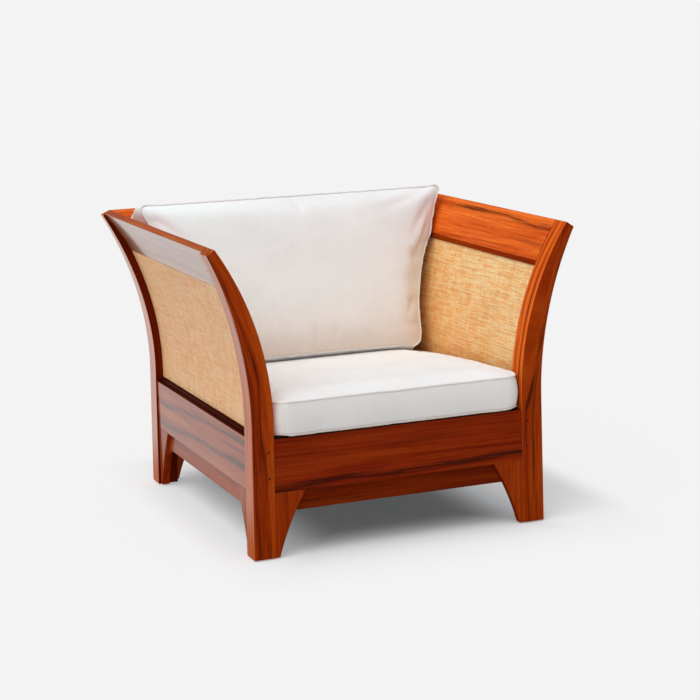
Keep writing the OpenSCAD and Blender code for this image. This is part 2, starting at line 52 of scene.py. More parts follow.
# %% [markdown]
# ## The flare, in numbers
# The walls stand plumb up to the seat and then lean outwards on an arc. Their outer faces follow a
# wider arc, so the posts get thinner towards the top. A point could be measured off the meshes, but a
# few numbers say it exactly: how deep it lies behind the inner face, and how far up the curve. Grain,
# weave and cushions all use these two functions. All lengths are in metres.

# %% The flare
WIDTH, DEPTH, HEIGHT = 1.024, 1.010, 0.812
FLARE_START = 0.360
TOP_LEAN = math.radians(34)
POST_FACE, TOP_THICKNESS = 0.059, 0.026
INNER_ARC = (HEIGHT - FLARE_START) / math.sin(TOP_LEAN)
reach = INNER_ARC * (1 - math.cos(TOP_LEAN)) + TOP_THICKNESS * math.cos(TOP_LEAN) - POST_FACE
rise = HEIGHT - TOP_THICKNESS * math.sin(TOP_LEAN) - FLARE_START
OUTER_ARC = (reach ** 2 + rise ** 2) / (2 * reach)
INNER_X = WIDTH / 2 - POST_FACE - reach
INNER_Y = DEPTH / 2 - POST_FACE - reach


def flare(z):
    """How far the inner face has leaned outwards at height z."""
    up = np.maximum(np.asarray(z, float) - FLARE_START, 0)
    return INNER_ARC - np.sqrt(INNER_ARC ** 2 - up ** 2)


def wall_coordinates(outwards, z):
    """Depth behind the inner face and length up the curve, for a distance outwards and a height."""
    up = np.maximum(z - FLARE_START, 0)
    depth = INNER_ARC - np.hypot(INNER_ARC - outwards, up)
    length = np.minimum(z, FLARE_START) + INNER_ARC * np.arctan2(up, INNER_ARC - outwards)
    return depth, length


print("inner arc", INNER_ARC, "outer arc", OUTER_ARC, "inner faces at", INNER_X, INNER_Y)

# %% [markdown]
# ## Formulas as nodes
# A finish is a formula over places and noise, and Blender keeps formulas as nodes. They could be drawn
# by hand in the editor, but a long tree is hard to read there. So a value that flows through a tree is
# wrapped in a small class, and arithmetic on it adds the Math nodes: `a + b * c` makes two of them.

# %% Values that flow through a tree
class Flow:
    """A number, vector, colour or geometry in a node tree. Arithmetic is for the numbers."""

    def __init__(self, socket):
        self.socket, self.tree = socket, socket.id_data

    def __add__(self, other):
        return calc("ADD", self, other)

    def __sub__(self, other):
        return calc("SUBTRACT", self, other)

    def __rsub__(self, other):
        return calc("SUBTRACT", other, self)

    def __mul__(self, other):
        return calc("MULTIPLY", self, other)

    def __truediv__(self, other):
        return calc("DIVIDE", self, other)

    def __mod__(self, other):
        return calc("MODULO", self, other)

    __radd__, __rmul__ = __add__, __mul__


print("a flowing value takes + - * / and %")

# %% [markdown]
# ## Adding nodes
# Each node is three lines when it is written out: add it, set its options, link its inputs. One helper
# does all three. A second starts a formula, a third goes on from a flowing value in the same tree, and
# the last is for arithmetic. The small trial at the end shows what a formula turns into.

# %% Nodes
def node(tree, kind, inputs=None, **settings):
    """Adds a node, sets its own options, and fills or links its inputs by name or number."""
    made = tree.nodes.new(kind)
    for key, value in settings.items():
        setattr(made, key, value)
    for key, value in (inputs or {}).items():
        if isinstance(value, Flow):
            tree.links.new(value.socket, made.inputs[key])
        else:
            made.inputs[key].default_value = value
    return made


def source(tree, kind, output=0, inputs=None, **settings):
    """Adds a node that starts a formula, and returns one of its outputs."""
    return Flow(node(tree, kind, inputs, **settings).outputs[output])


def step(kind, inputs, output=0, **settings):
    """Adds a node behind a flowing value, in the same tree, and returns one of its outputs."""
    tree = next(value.tree for value in inputs.values() if isinstance(value, Flow))
    return source(tree, kind, output, inputs, **settings)


def calc(operation, *values):
    """One step of arithmetic."""
    return step("ShaderNodeMath", dict(enumerate(values)), operation=operation)


trial = bpy.data.node_groups.new("Trial", "GeometryNodeTree")
print("value * 2 + 1 makes", len((source(trial, "ShaderNodeValue") * 2 + 1).tree.nodes), "nodes")
bpy.data.node_groups.remove(trial)

# %% [markdown]
# ## Noise
# Wood, straw and cloth are never one flat colour. Picture files could show that, but they fix a size
# and have edges. Noise is endless and sharp at any distance, so each finish here starts from noise
# that is stretched along its fibres.

# %% Noise and numbers
def noise(place, scale=1.0, detail=2.0, stretch=None, kind="3D", **more):
    """Noise from 0 to 1 at a place, which is stretched first where stretch is given."""
    if stretch:
        place = step("ShaderNodeMapping", {"Vector": place, "Scale": stretch})
    inputs = {"W" if kind == "1D" else "Vector": place, "Scale": scale, "Detail": detail, **more}
    return step("ShaderNodeTexNoise", inputs, noise_dimensions=kind)


def span(value, low, high, to_low=0.0, to_high=1.0):
    """Maps a value from one span onto another, smoothly, and stops at its ends."""
    return step("ShaderNodeMapRange", {"Value": value, "From Min": low, "From Max": high,
                "To Min": to_low, "To Max": to_high}, interpolation_type="SMOOTHSTEP")


def split(vector):
    """The three parts of a vector."""
    return [Flow(part) for part in step("ShaderNodeSeparateXYZ", {"Vector": vector}).socket.node.outputs]


def relief(height, strength, distance):
    """A surface direction that follows small bumps."""
    return step("ShaderNodeBump", {"Height": height, "Strength": strength, "Distance": distance})


print("helpers:", ", ".join(helper.__name__ for helper in (noise, span, split, relief)))

# %% [markdown]
# ## Colours
# A shade is picked on a screen, where it is written as '#7a2b10', but Blender mixes light, which needs
# linear numbers. The numbers could be looked up for each shade, but one function turns them all. A
# ramp then lays shades along a noise, and a blend puts one colour over another.

# %% Colours
def colour(text):
    """The linear colour of a screen colour such as '#7a2b10'."""
    values = [int(text[i:i + 2], 16) / 255 for i in (1, 3, 5)]
    return [v / 12.92 if v <= 0.04045 else ((v + 0.055) / 1.055) ** 2.4 for v in values] + [1.0]


def ramp(value, stops):
    """A colour ramp through screen colours, each at its place."""
    made = step("ShaderNodeValToRGB", {"Fac": value})
    elements = made.socket.node.color_ramp.elements
    while len(elements) < len(stops):
        elements.new(0.5)
    for element, (place, shade) in zip(elements, stops.items()):
        element.position = place
        element.color = colour(shade)
    return made


def blend(kind, share, first, second):
    """Mixes two colours."""
    return step("ShaderNodeMix", {0: share, 6: first, 7: second}, 2, data_type="RGBA", blend_type=kind)


print("linear red-brown", colour("#7a2b10"))

# %% [markdown]
# ## A material
# Each finish starts from the place of the shaded point, or from a value that is stored on the mesh,
# and ends in one Principled surface. These three helpers make the two ends.

# %% Start and end of a material
def new_material(name):
    """An empty material, and the place of its shaded point on the chair."""
    material = bpy.data.materials.new(name)
    material.use_nodes = True
    material.node_tree.nodes.clear()
    return material, source(material.node_tree, "ShaderNodeTexCoord", "Object")


def stored(material, name, output="Vector"):
    """A value that is stored on the mesh under a name."""
    return source(material.node_tree, "ShaderNodeAttribute", output, attribute_name=name)


def principled(material, inputs):
    """Gives a material its surface."""
    surface = source(material.node_tree, "ShaderNodeBsdfPrincipled", "BSDF", inputs)
    node(material.node_tree, "ShaderNodeOutputMaterial", {"Surface": surface})
    return material


print("materials so far", len(bpy.data.materials))

# %% [markdown]
# ## The wood's figure
# The frame is a red-brown hardwood. Its bands are centimetres wide, its lines millimetres and its
# fibres finer still. One wave pattern would look like a print, so three noises of different fineness
# are added, all long along the grain. They read a `grain` coordinate in metres (across, through and
# along the fibres) that each piece carries, so that the figure bends with the posts.

# %% The figure
BANDS, LINES, FIBRES, HEART = 38, 190, 1100, 16


def streaks(grain, across, along, detail, distortion=0.0):
    """Noise that runs along the grain."""
    return noise(grain, 1.0, detail, (across, across, along), Roughness=0.6, Distortion=distortion)


def wood_figure(grain):
    """The wood's own colour, its lines and its fibres."""
    bands = streaks(grain, BANDS, 1.6, 3, 0.6)
    lines = streaks(grain, LINES, 4.5, 4)
    fibres = streaks(grain, FIBRES, 28, 2)
    value = bands * 0.42 + (lines * 0.36 + fibres * 0.22)
    return ramp(value, {0.35: "#902d08", 0.45: "#ba4b14", 0.54: "#d0601c", 0.67: "#e47d32"}), lines, fibres


for name, count in (("bands", BANDS), ("lines", LINES), ("fibres", FIBRES), ("heartwood", HEART)):
    print(name, "about every", round(1000 / count, 1), "mm")

# %% [markdown]
# ## Dark heartwood
# Here and there a board shows a dark band of heartwood. Noise alone would put bands anywhere, and on
# this chair some of them stand out, so a board can also place its own. Its `heartwood` numbers say
# where a band crosses the board, how it slopes, how wide it is and how far a pair lies apart.

# %% The heartwood
SWAY, RAGGEDNESS = 0.030, 0.055


def heartwood(material, grain, lines):
    """How dark each point is: by chance, or because it lies on one of its board's bands."""
    by_chance = span(streaks(grain, HEART, 0.9, 3, 0.8), 0.61, 0.72, 0.0, 0.25)
    across, _, along = split(grain)
    start, slope, half_width = split(stored(material, "heartwood"))
    half_pair = stored(material, "heartwood", "Alpha")
    sway = noise(along, 2.6, 1.5, kind="1D") - 0.5
    middle = start + slope * along + sway * SWAY
    aside = calc("ABSOLUTE", calc("ABSOLUTE", across - middle) - half_pair)
    inside = half_width - aside + (lines - 0.5) * RAGGEDNESS
    return calc("MAXIMUM", by_chance, span(inside, -0.006, 0.010, 0.0, 0.85))


print("a band sways by up to", SWAY / 2 * 1000, "mm to each side")

# %% [markdown]
# ## Lacquer
# A clear coat over rougher wood gives the soft reflections of brushed lacquer. A single glossy surface
# would be simpler, but it loses the wood's own dull shine. Seen face on, the lacquer shows little, and
# seen along the surface it turns pale, which the two spans on `facing` shape. Near the floor the
# lacquer is scuffed and dull.

# %% The lacquered wood
def lacquered_wood():
    material, place = new_material("Lacquered hardwood")
    grain = stored(material, "grain")
    figure, lines, fibres = wood_figure(grain)
    # The wood's colour times each face's painted light and shade.
    figure_with_painted_light = blend("MULTIPLY", 1.0, figure, stored(material, "painted_light", "Color"))
    _, _, height = split(place)
    gloss = stored(material, "painted_light", "Alpha") * span(height, 0.02, 0.18, 0.15, 1.0)
    facing = source(material.node_tree, "ShaderNodeLayerWeight", "Facing", {"Blend": 0.5})
    return principled(material, {
        "Base Color": blend("MIX", heartwood(material, grain, lines), figure_with_painted_light, colour("#2c0b05")),
        "Roughness": span(fibres, 0.3, 0.7, 0.38, 0.52),
        "Specular IOR Level": gloss * span(facing, 0.64, 0.80, 0.0, 0.6),
        "Coat Weight": gloss * span(facing, 0.58, 0.66, 0.08, 1.0),
        "Coat Roughness": 0.12,
        "Coat IOR": 1.55,
        "Normal": relief(fibres, 0.25, 0.0004)})


LACQUERED = lacquered_wood()
print(LACQUERED.name, "has", len(LACQUERED.node_tree.nodes), "nodes")

# %% [markdown]
# ## Which way each board grows
# A joiner cuts a rail with its fibres along its length and a post with them standing, and bends a wall
# board with them straight along the wall. Unwrapping 29 boards by hand would say the same, but a
# formula for each way of growing is shorter and fits the flare exactly. Each row names a way of
# growing, a kind of board, and the boards.

# %% The boards and their grain
BOARD_ROWS = [
    ("front post", "post", "front_left_post front_right_post"),
    ("rear post", "rear post", "rear_left_post rear_right_post"),
    ("along x", "front rail", "front_rail"),
    ("along x", "apron", "rear_rail"),
    ("along y", "apron", "left_rail right_rail"),
    ("along x", "low rail", "front_lower_rail rear_lower_rail"),
    ("along y", "low rail", "left_lower_rail right_lower_rail"),
    ("upright", "bracket", "front_left_bracket front_right_bracket rear_left_bracket rear_right_bracket"),
    ("upright", "bracket", "left_front_bracket left_rear_bracket right_front_bracket right_rear_bracket"),
    ("bent along y", "arm rail", "left_arm_rail right_arm_rail"),
    ("bent along x", "arm rail", "crest_rail"),
    ("along y", "top bead", "left_top_bead right_top_bead"),
    ("along x", "top bead", "back_top_bead"),
    ("along y", "low bead", "left_bottom_bead right_bottom_bead"),
    ("along x", "low bead", "back_bottom_bead")]
BOARDS = [(name, growth, kind) for growth, kind, names in BOARD_ROWS for name in names.split()]


def grain_of(places, growth):
    """The grain coordinate (across, through, along) of points of a board."""
    x, y, z = places.T
    side_depth, side_length = wall_coordinates(np.abs(x) - INNER_X, z)
    back_depth, back_length = wall_coordinates(y - INNER_Y, z)
    return np.stack({
        "front post": (side_depth + 0.8 * (y + DEPTH / 2), y, side_length),
        "rear post": (side_depth, back_depth, (side_length + back_length) / 2),
        "along x": (z, y, x), "along y": (z, x, y), "upright": (x, y, z),
        "bent along y": (side_length, side_depth, y),
        "bent along x": (back_length, back_depth, x)}[growth], axis=1)


print(len(BOARDS), "boards")

# %% [markdown]
# ## Painted light and shade for each face
# The wood's colour on each face is scaled by a factor for its kind of board and the way it looks, and
# these factors are painted light and shade: fronts darker, the inward faces of posts and arm rails
# brighter, outward faces cooler for a painted sheen, and the beads, low rails and rear posts' fronts
# dark where shade falls. A new material for each board would hide that they are one wood, so each face
# carries its factor as a stored colour. Its alpha is the face's gloss, because the beads and the low
# pieces are barely polished.

# %% The tints
# Painted light and shade: factors for faces to the front, inwards and outwards, by kind of board.
PAINTED_LIGHT_AND_SHADE = {"post": ((0.54, 0.36, 0.20), (1.40, 1.40, 1.45), (0.86, 1.02, 1.02)),
         "rear post": ((0.20, 0.08, 0.07), (1.30, 1.30, 1.50), (0.90, 1.06, 1.06)),
         "front rail": ((0.37, 0.18, 0.10), (0.60, 0.42, 0.36), (0.60, 0.42, 0.36)),
         "apron": ((0.50, 0.45, 0.50), (0.60, 0.42, 0.36), (0.56, 0.56, 0.75)),
         "low rail": ((0.25, 0.132, 0.085), (0.30, 0.20, 0.20), (0.56, 0.54, 0.60)),
         "bracket": ((0.46, 0.31, 0.26), (0.50, 0.36, 0.36), (0.55, 0.58, 0.70)),
         "arm rail": ((0.36, 0.20, 0.14), (1.33, 1.40, 1.80), (0.50, 0.75, 1.30)),
         "top bead": [(0.46, 0.28, 0.24)] * 3,
         "low bead": [(0.09, 0.04, 0.04)] * 3}
# Painted shade on the curved undersides of the brackets.
PAINTED_SHADE_UNDER_BRACKET = (0.36, 0.20, 0.16)
GLOSS = {"front rail": 1.0, "arm rail": 1.0, "rear post": 1.0, "apron": 0.70, "post": 0.62, "bracket": 0.50,
         "low rail": 0.45, "top bead": 0.15, "low bead": 0.05}
print("tints for", ", ".join(PAINTED_LIGHT_AND_SHADE))

# %% [markdown]
# ## Which face gets which painted light and shade
# The faces could be picked by hand, one by one, but where a face looks says enough: to the front, up,
# down under a bracket, inwards to the seat, or outwards. On the side walls inwards is along X, and on
# the others it is towards the front. Fronts, tops and the curved undersides of brackets get painted
# shade.

# %% Tint the faces
NEAR_WALL = 0.3
TOWARDS, UPWARDS = 0.3, 0.75


def face_painted_light(kind, normal, middle):
    """The painted light and shade and the gloss of one face, for the way it looks and its place."""
    front, inner, outer = (np.array(painted_light) for painted_light in PAINTED_LIGHT_AND_SHADE[kind])
    inwards = -math.copysign(1.0, middle.x) * normal.x if abs(middle.x) > NEAR_WALL else -normal.y
    # Faces to the front get painted shade.
    if normal.y < -TOWARDS and (middle.y < NEAR_WALL or kind == "rear post"):
        return front, 0.6
    # Faces that look up get painted shade and little gloss.
    if normal.z > UPWARDS:
        return inner * (0.50 if kind in ("arm rail", "post", "rear post") else 0.20), 0.1
    # The curved undersides of brackets get painted shade.
    if kind == "bracket" and normal.z < -0.05:
        return PAINTED_SHADE_UNDER_BRACKET, 0.0
    return (inner if inwards > TOWARDS else outer), 1.0


def corners_painted_light(board, kind):
    """The painted light and shade and the gloss of every corner of every face of a board."""
    corners = []
    for face in board.data.polygons:
        painted_light, gloss = face_painted_light(kind, face.normal, face.center)
        corners += [[*painted_light, gloss * GLOSS[kind]]] * len(face.vertices)
    return corners


print("a left arm's inner face has tint", face_painted_light("arm rail", Vector((1, 0, 0)), Vector((-0.4, 0, 0.7))))

# %% [markdown]
# ## Where the heartwood runs
# A sawyer can't choose where the dark wood lies, but a joiner chooses the board for its place, and
# here the finest bands are at the front. Chance could be tried until it puts them there, but a few
# numbers are surer. The first is a height, or for an arm, the crest or a post the coordinate that
# `grain_of` gives across the board.

# %% The heartwood's places
# Place across the board, slope along it, half width, and half the distance between a pair of bands.
HEARTWOOD = {
    "front_rail": (0.190, 0.021, 0.009, 0.0), "front_lower_rail": (0.130, 0.030, -0.001, 0.013),
    "left_rail": (0.246, -0.050, 0.008, 0.032), "right_rail": (0.246, 0.050, 0.008, 0.032),
    "right_arm_rail": (0.817, 0.015, 0.005, 0.0), "left_arm_rail": (0.760, 0.020, 0.000, 0.018),
    "crest_rail": (0.790, 0.030, 0.002, 0.0), "rear_rail": (0.230, 0.040, 0.004, 0.020),
    "front_left_post": (0.034, 0.010, 0.003, 0.012), "front_right_post": (0.030, -0.012, 0.003, 0.011)}
NO_HEARTWOOD = (0.0, 0.0, -9.0, 0.0)
print(len(HEARTWOOD), "boards place their own heartwood")

# %% [markdown]
# ## Which edges to ease
# A finisher sands every edge round by a millimetre or so, and the light catches it as a thin line. The
# edges could be rounded in the CAD, but every cut would then be slow. Here each board is a copy whose
# triangles are joined into whole faces, so that its real edges can be found. The long, sharp ones get
# a weight for the bevel. Short edges, round the bores, stay as they are.

# %% Find the long edges
SHARP = math.radians(30)
SHORT_EDGE = 0.006


def mark_long_edges(shape):
    """Joins a mesh's triangles into faces, and gives its long, sharp edges a bevel weight."""
    bmesh.ops.remove_doubles(shape, verts=shape.verts, dist=1e-5)
    bmesh.ops.dissolve_limit(shape, angle_limit=math.radians(0.5), verts=shape.verts, edges=shape.edges)
    weight = shape.edges.layers.float.new("bevel_weight_edge")
    for edge in shape.edges:
        sharp = len(edge.link_faces) == 2 and edge.calc_face_angle() > SHARP
        long = edge.calc_length() > SHORT_EDGE
        edge[weight] = 1.0 if sharp and long else 0.0
        edge.smooth = long or not sharp
    for face in shape.faces:
        face.smooth = True


print("edges shorter than", SHORT_EDGE * 1000, "mm stay sharp")

# %% [markdown]
# ## Ease them
# Two modifiers do the work. Bevel rounds the weighted edges in two steps, and Weighted Normal keeps
# the flat faces flat, which smooth shading would otherwise bend. They could stay live, but a plain
# mesh is what the export and the checks measure, so the result is kept and the modifiers go.

# %% Ease a board's edges
def link_object(name, mesh):
    """Puts a mesh in the scene as an object at the origin."""
    piece = bpy.data.objects.new(name, mesh)
    bpy.context.scene.collection.objects.link(piece)
    return piece


def applied(piece):
    """Turns a piece with modifiers into a plain mesh."""
    shaped = bpy.data.meshes.new_from_object(piece.evaluated_get(bpy.context.evaluated_depsgraph_get()))
    piece.modifiers.clear()
    piece.data = shaped
    return piece


def eased_board(name, width):
    """A copy of a CAD board with eased edges."""
    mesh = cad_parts[name].data.copy()
    mesh.materials.clear()
    shape = bmesh.new()
    shape.from_mesh(mesh)
    mark_long_edges(shape)
    shape.to_mesh(mesh)
    shape.free()
    board = link_object(name + "_board", mesh)
    bevel = board.modifiers.new("Eased edges", "BEVEL")
    bevel.limit_method = "WEIGHT"
    bevel.width = width
    bevel.segments = 2
    bevel.use_clamp_overlap = False
    board.modifiers.new("Flat faces stay flat", "WEIGHTED_NORMAL").keep_sharp = True
    return applied(board)


# %% [markdown]
# ## Finish the boards
# Every board gets its eased shape, its three stored values and the wood. They could all read one
# place in the wood, but then neighbours would share a figure. So each board is cut from its own part
# of an endless log, by an offset to its grain. The board stands in for its CAD node from here on.

# %% The finished boards
def points(mesh):
    """The places of a mesh's points."""
    places = np.zeros(len(mesh.vertices) * 3)
    mesh.vertices.foreach_get("co", places)
    return places.reshape(-1, 3)


def store(mesh, name, values, domain="POINT"):
    """Stores a vector or a colour for each point or corner, under a name that a material can read."""
    values = np.asarray(values, float)
    kind, field = {3: ("FLOAT_VECTOR", "vector"), 4: ("FLOAT_COLOR", "color")}[values.shape[1]]
    mesh.attributes.new(name, kind, domain).data.foreach_set(field, values.ravel())


LOG_STEP = np.array([0.37, 0.61, 1.9])
EASE = {"post": 0.0014, "rear post": 0.0014, "arm rail": 0.0011, "top bead": 0.0006, "low bead": 0.0006}
USUAL_EASE = 0.0010
face_count = 0
for number, (name, growth, kind) in enumerate(BOARDS):
    board = eased_board(name, EASE.get(kind, USUAL_EASE))
    places = points(board.data)
    offset = LOG_STEP * number
    store(board.data, "grain", grain_of(places, growth) + offset)
    # Each face's painted light and shade, with its gloss in alpha.
    store(board.data, "painted_light", corners_painted_light(board, kind), "CORNER")
    start, slope, half_width, half_pair = HEARTWOOD.get(name, NO_HEARTWOOD)
    band = [start + offset[0] - slope * offset[2], slope, half_width, half_pair]
    store(board.data, "heartwood", np.tile(band, (len(places), 1)))
    board.data.materials.append(LACQUERED)
    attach(board, "frame")
    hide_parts(name)
    face_count += len(board.data.polygons)
print(len(BOARDS), "boards,", face_count, "faces")

# %% [markdown]
# ## The wood inside
# Slats, ledgers, bearer, corner blocks and the panels' boards are sanded and left bare. Their CAD
# shapes are right as they are, so they get no new mesh, only a material, with its noise stretched
# along X or along Y.

# %% Bare wood
def bare_wood(name, stretch, pale, deep):
    """Sanded wood. stretch is small along the fibres and large across them."""
    material, place = new_material(name)
    bands = noise(place, 0.3, 4.0, stretch, Distortion=0.5)
    fibres = noise(place, 6.0, 3.0, stretch)
    return principled(material, {
        "Base Color": ramp(bands * 0.65 + fibres * 0.35, {0.35: deep, 0.65: pale}),
        "Roughness": span(fibres, 0.3, 0.7, 0.6, 0.75),
        "Normal": relief(fibres, 0.3, 0.0005)})


def dress(names, material):
    """Gives CAD nodes a material."""
    for name in names:
        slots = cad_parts[name].data.materials
        slots.clear()
        slots.append(material)
    print(material.name, "on", len(names), "nodes")


blocks = [f"{end}_{side}_corner_block" for end in ("front", "rear") for side in ("left", "right")]
dress([f"seat_slat_{i}" for i in range(1, 10)], bare_wood("Bare slats", (60, 60, 3), "#a3917c", "#85735f"))
dress(["front_ledger", "rear_ledger", "seat_bearer", *blocks],
      bare_wood("Bare bearers", (3, 60, 60), "#97836c", "#7a6650"))
dress(["left_panel_board", "right_panel_board", "back_panel_board"],
      bare_wood("Panel boards", (60, 4, 60), "#fbd29c", "#eeb87e"))

# %% [markdown]
# ## Steel, nylon and peg ends
# The screws and bolts are zinc-plated, the glides are black moulded nylon, and the pegs show end grain
# that has drunk in the lacquer and gone dark. They are small, so fine specks are enough: in the colour
# and the roughness, and on the nylon as a faint relief too. One function makes all three.

# %% Small parts
def speckled(name, scale, detail, stops, roughness, bumps=None, **more):
    """A plain finish with fine specks."""
    material, place = new_material(name)
    specks = noise(place, scale, detail)
    inputs = {"Base Color": ramp(specks, stops), "Roughness": span(specks, 0.3, 0.7, *roughness), **more}
    if bumps:
        inputs["Normal"] = relief(specks, *bumps)
    return principled(material, inputs)


dress(["slat_screws", "corner_bolts"],
      speckled("Zinc-plated steel", 900.0, 3.0, {0.3: "#8d8f90", 0.7: "#b4b6b8"}, (0.25, 0.42), Metallic=1.0))
dress(["foot_glides"],
      speckled("Moulded nylon", 1500.0, 2.0, {0.3: "#1d1b1a", 0.7: "#2f2c2a"}, (0.5, 0.65), (0.2, 0.0002)))
dress(["front_joint_pegs"],
      speckled("Lacquered peg ends", 1200.0, 4.0, {0.35: "#1c0803", 0.65: "#3c1407"}, (0.35, 0.5),
               **{"Specular IOR Level": 0.1}))

# %% [markdown]
# ## Woven raffia: the strands
# Each wall is faced with a plain weave: strands along the wall pass over and under strands up the wall.
# It could be a bump map on a flat sheet, but close to it the light falls through real gaps onto the
# board behind, so the strands are made. Geometry Nodes suit them, because a weave is one rule: a strip
# for each strand, lifted at every second crossing. A grid with two rows of points for each strand
# gives all the strips at once, when the faces between them are deleted. Strands differ a little in
# width and wander from their line.

# %% Strands as strips
ACROSS, UP = 0.0, 20.0


def weave_strips(values, strands, crossings, sign, family):
    """One family of strands, as strips in the plane: (along the wall, up the wall, out of it)."""
    rows, pitch = strands * 2, values["Pitch"]
    grid = step("GeometryNodeMeshGrid", {"Vertices X": crossings, "Vertices Y": rows})
    index = source(grid.tree, "GeometryNodeInputIndex")
    between = calc("GREATER_THAN", (index % (rows - 1)) % 2, 0.5)
    strips = step("GeometryNodeDeleteGeometry", {"Geometry": grid, "Selection": between}, domain="FACE")
    strand = calc("FLOOR", (index % rows) / 2)
    crossing = calc("FLOOR", index / rows)
    chance = step("FunctionNodeRandomValue", {"ID": strand, "Seed": values["Seed"]}, 1, data_type="FLOAT")
    edge = (index % 2 - 0.5) * (values["Strand width"] * (0.82 + chance * 0.3))
    own_line = strand * 7.31 + crossing * 0.11
    wander = (noise(own_line, 1.0, 1.0, kind="1D") - 0.5) * (pitch * 0.7)
    lift = values["Wave height"] * (sign * (1 - 2 * ((crossing + strand) % 2)))
    run = (crossing + 0.5) * pitch
    aside = (strand + 0.5) * pitch + (edge + wander)
    x, y = (aside, run) if family == UP else (run, aside)
    flat = step("ShaderNodeCombineXYZ", {"X": x, "Y": y, "Z": lift})
    strips = step("GeometryNodeSetPosition", {"Geometry": strips, "Position": flat})
    mark = step("ShaderNodeCombineXYZ", {"X": run, "Y": edge, "Z": chance * 10.0 + family})
    return step("GeometryNodeStoreNamedAttribute", {"Geometry": strips, "Name": "strand", "Value": mark},
                data_type="FLOAT_VECTOR", domain="POINT")


print("a strand's mark is its chance, from 0 to 10, plus", ACROSS, "or", UP)

# %% [markdown]
# ## Trees with named inputs
# A geometry tree can be used on many pieces, as a recipe with settings. These helpers make an empty
# tree with its inputs, end it with smooth, real geometry and a material, and run it on an object,
# whose result is kept as a plain mesh.

# %% Helpers for geometry trees
def geometry_tree(name, sockets):
    """An empty tree and its inputs. sockets gives each input a default number or a kind."""
    tree = bpy.data.node_groups.new(name, "GeometryNodeTree")
    for key, value in sockets.items():
        kind = value if isinstance(value, str) else "Float"
        socket = tree.interface.new_socket(key, in_out="INPUT", socket_type="NodeSocket" + kind)
        if kind == "Float":
            socket.default_value = value
    tree.interface.new_socket("Geometry", in_out="OUTPUT", socket_type="NodeSocketGeometry")
    return tree, {s.name: Flow(s) for s in node(tree, "NodeGroupInput").outputs if s.name}


def end_tree(tree, geometry, material):
    """Ends a tree with smooth, real geometry and its material."""
    smooth = step("GeometryNodeSetShadeSmooth", {"Geometry": geometry})
    real = step("GeometryNodeRealizeInstances", {"Geometry": smooth})
    dressed = step("GeometryNodeSetMaterial", {"Geometry": real, "Material": material})
    node(tree, "NodeGroupOutput", {"Geometry": dressed})
    print(tree.name, "has", len(tree.nodes), "nodes")
    return tree


def grow(name, tree, values, mesh=None):
    """Runs a geometry tree with named inputs and returns its result as a plain mesh object."""
    piece = link_object(name, mesh or bpy.data.meshes.new(name))
    modifier = piece.modifiers.new(tree.name, "NODES")
    modifier.node_group = tree
    sockets = {s.name: s.identifier for s in tree.interface.items_tree if s.in_out == "INPUT"}
    for key, value in values.items():
        modifier[sockets[key]] = value
    return applied(piece)


print("node groups so far", len(bpy.data.node_groups))

# %% [markdown]
# ## Woven raffia: the bent sheet
# On the chair the flat sheet is glued to a bent board and cut off at the flared posts. A lattice or a
# curve could bend it, but the wall is an exact arc, so sine and cosine roll it on. Then every face
# that lies past a post's edge is deleted, with a little left to tuck into the post's groove.

# %% Roll and trim the weave
RAIL_TOP = 0.315
TUCK = 0.002


def position(tree):
    """The place of each point."""
    return split(source(tree, "GeometryNodeInputPosition"))


def rolled(flat, values, low):
    """Rolls the flat weave onto the wall: X is along the wall, Y outwards from its plumb inner face."""
    x, y, z = position(flat.tree)
    past = y - (FLARE_START - RAIL_TOP)
    turn = calc("MAXIMUM", past, 0.0) / values["Radius"]
    radius = values["Radius"] - z * values["Facing"]
    outwards = POST_FACE + OUTER_ARC - radius * calc("COSINE", turn)
    height = radius * calc("SINE", turn) + (FLARE_START + calc("MINIMUM", past, 0.0))
    place = step("ShaderNodeCombineXYZ", {"X": x + low, "Y": outwards, "Z": height})
    return step("GeometryNodeSetPosition", {"Geometry": flat, "Position": place})


def trimmed(sheet, values):
    """Cuts the sheet off at its ends, each of which may follow a flared post."""
    x, _, z = position(sheet.tree)
    over = calc("MAXIMUM", z - FLARE_START, 0.0)
    lean = INNER_ARC - calc("SQRT", INNER_ARC ** 2 - over * over)
    first = values["Start"] - TUCK - lean * values["Start flare"]
    last = values["End"] + TUCK + lean * values["End flare"]
    outside = calc("MAXIMUM", calc("LESS_THAN", x, first), calc("GREATER_THAN", x, last))
    return step("GeometryNodeDeleteGeometry", {"Geometry": sheet, "Selection": outside}, domain="FACE")


print("the flare starts", FLARE_START - RAIL_TOP, "m up the sheet")

# %% [markdown]
# ## Woven raffia: the tree
# The strands, the bend and the trimming come together in one tree. Its inputs are a wall's sizes and
# a strand's, so the same tree weaves all six sheets, and a coarser weave is one number away. The flat
# sheet is woven as wide as the wall is at the top, where the flare is widest.

# %% The weave's tree
WEAVE, values = geometry_tree("Plain weave on a flared wall", {
    "Start": 0.0, "End": 0.8, "Start flare": 0.0, "End flare": 1.0, "Height": 0.4, "Radius": 1.02,
    "Pitch": 0.004, "Strand width": 0.0037, "Wave height": 0.00045, "Facing": 1.0,
    "Seed": "Int", "Material": "Material"})
widest = float(flare(HEIGHT))
low = values["Start"] - values["Start flare"] * widest
high = values["End"] + values["End flare"] * widest
count_along = calc("ROUND", (high - low) / values["Pitch"])
count_up = calc("ROUND", values["Height"] / values["Pitch"])
both = node(WEAVE, "GeometryNodeJoinGeometry")
for family in (weave_strips(values, count_up, count_along, 1.0, ACROSS),
               weave_strips(values, count_along, count_up, -1.0, UP)):
    WEAVE.links.new(family.socket, both.inputs[0])
sheet = trimmed(rolled(Flow(both.outputs[0]), values, low), values)
end_tree(WEAVE, sheet, values["Material"])
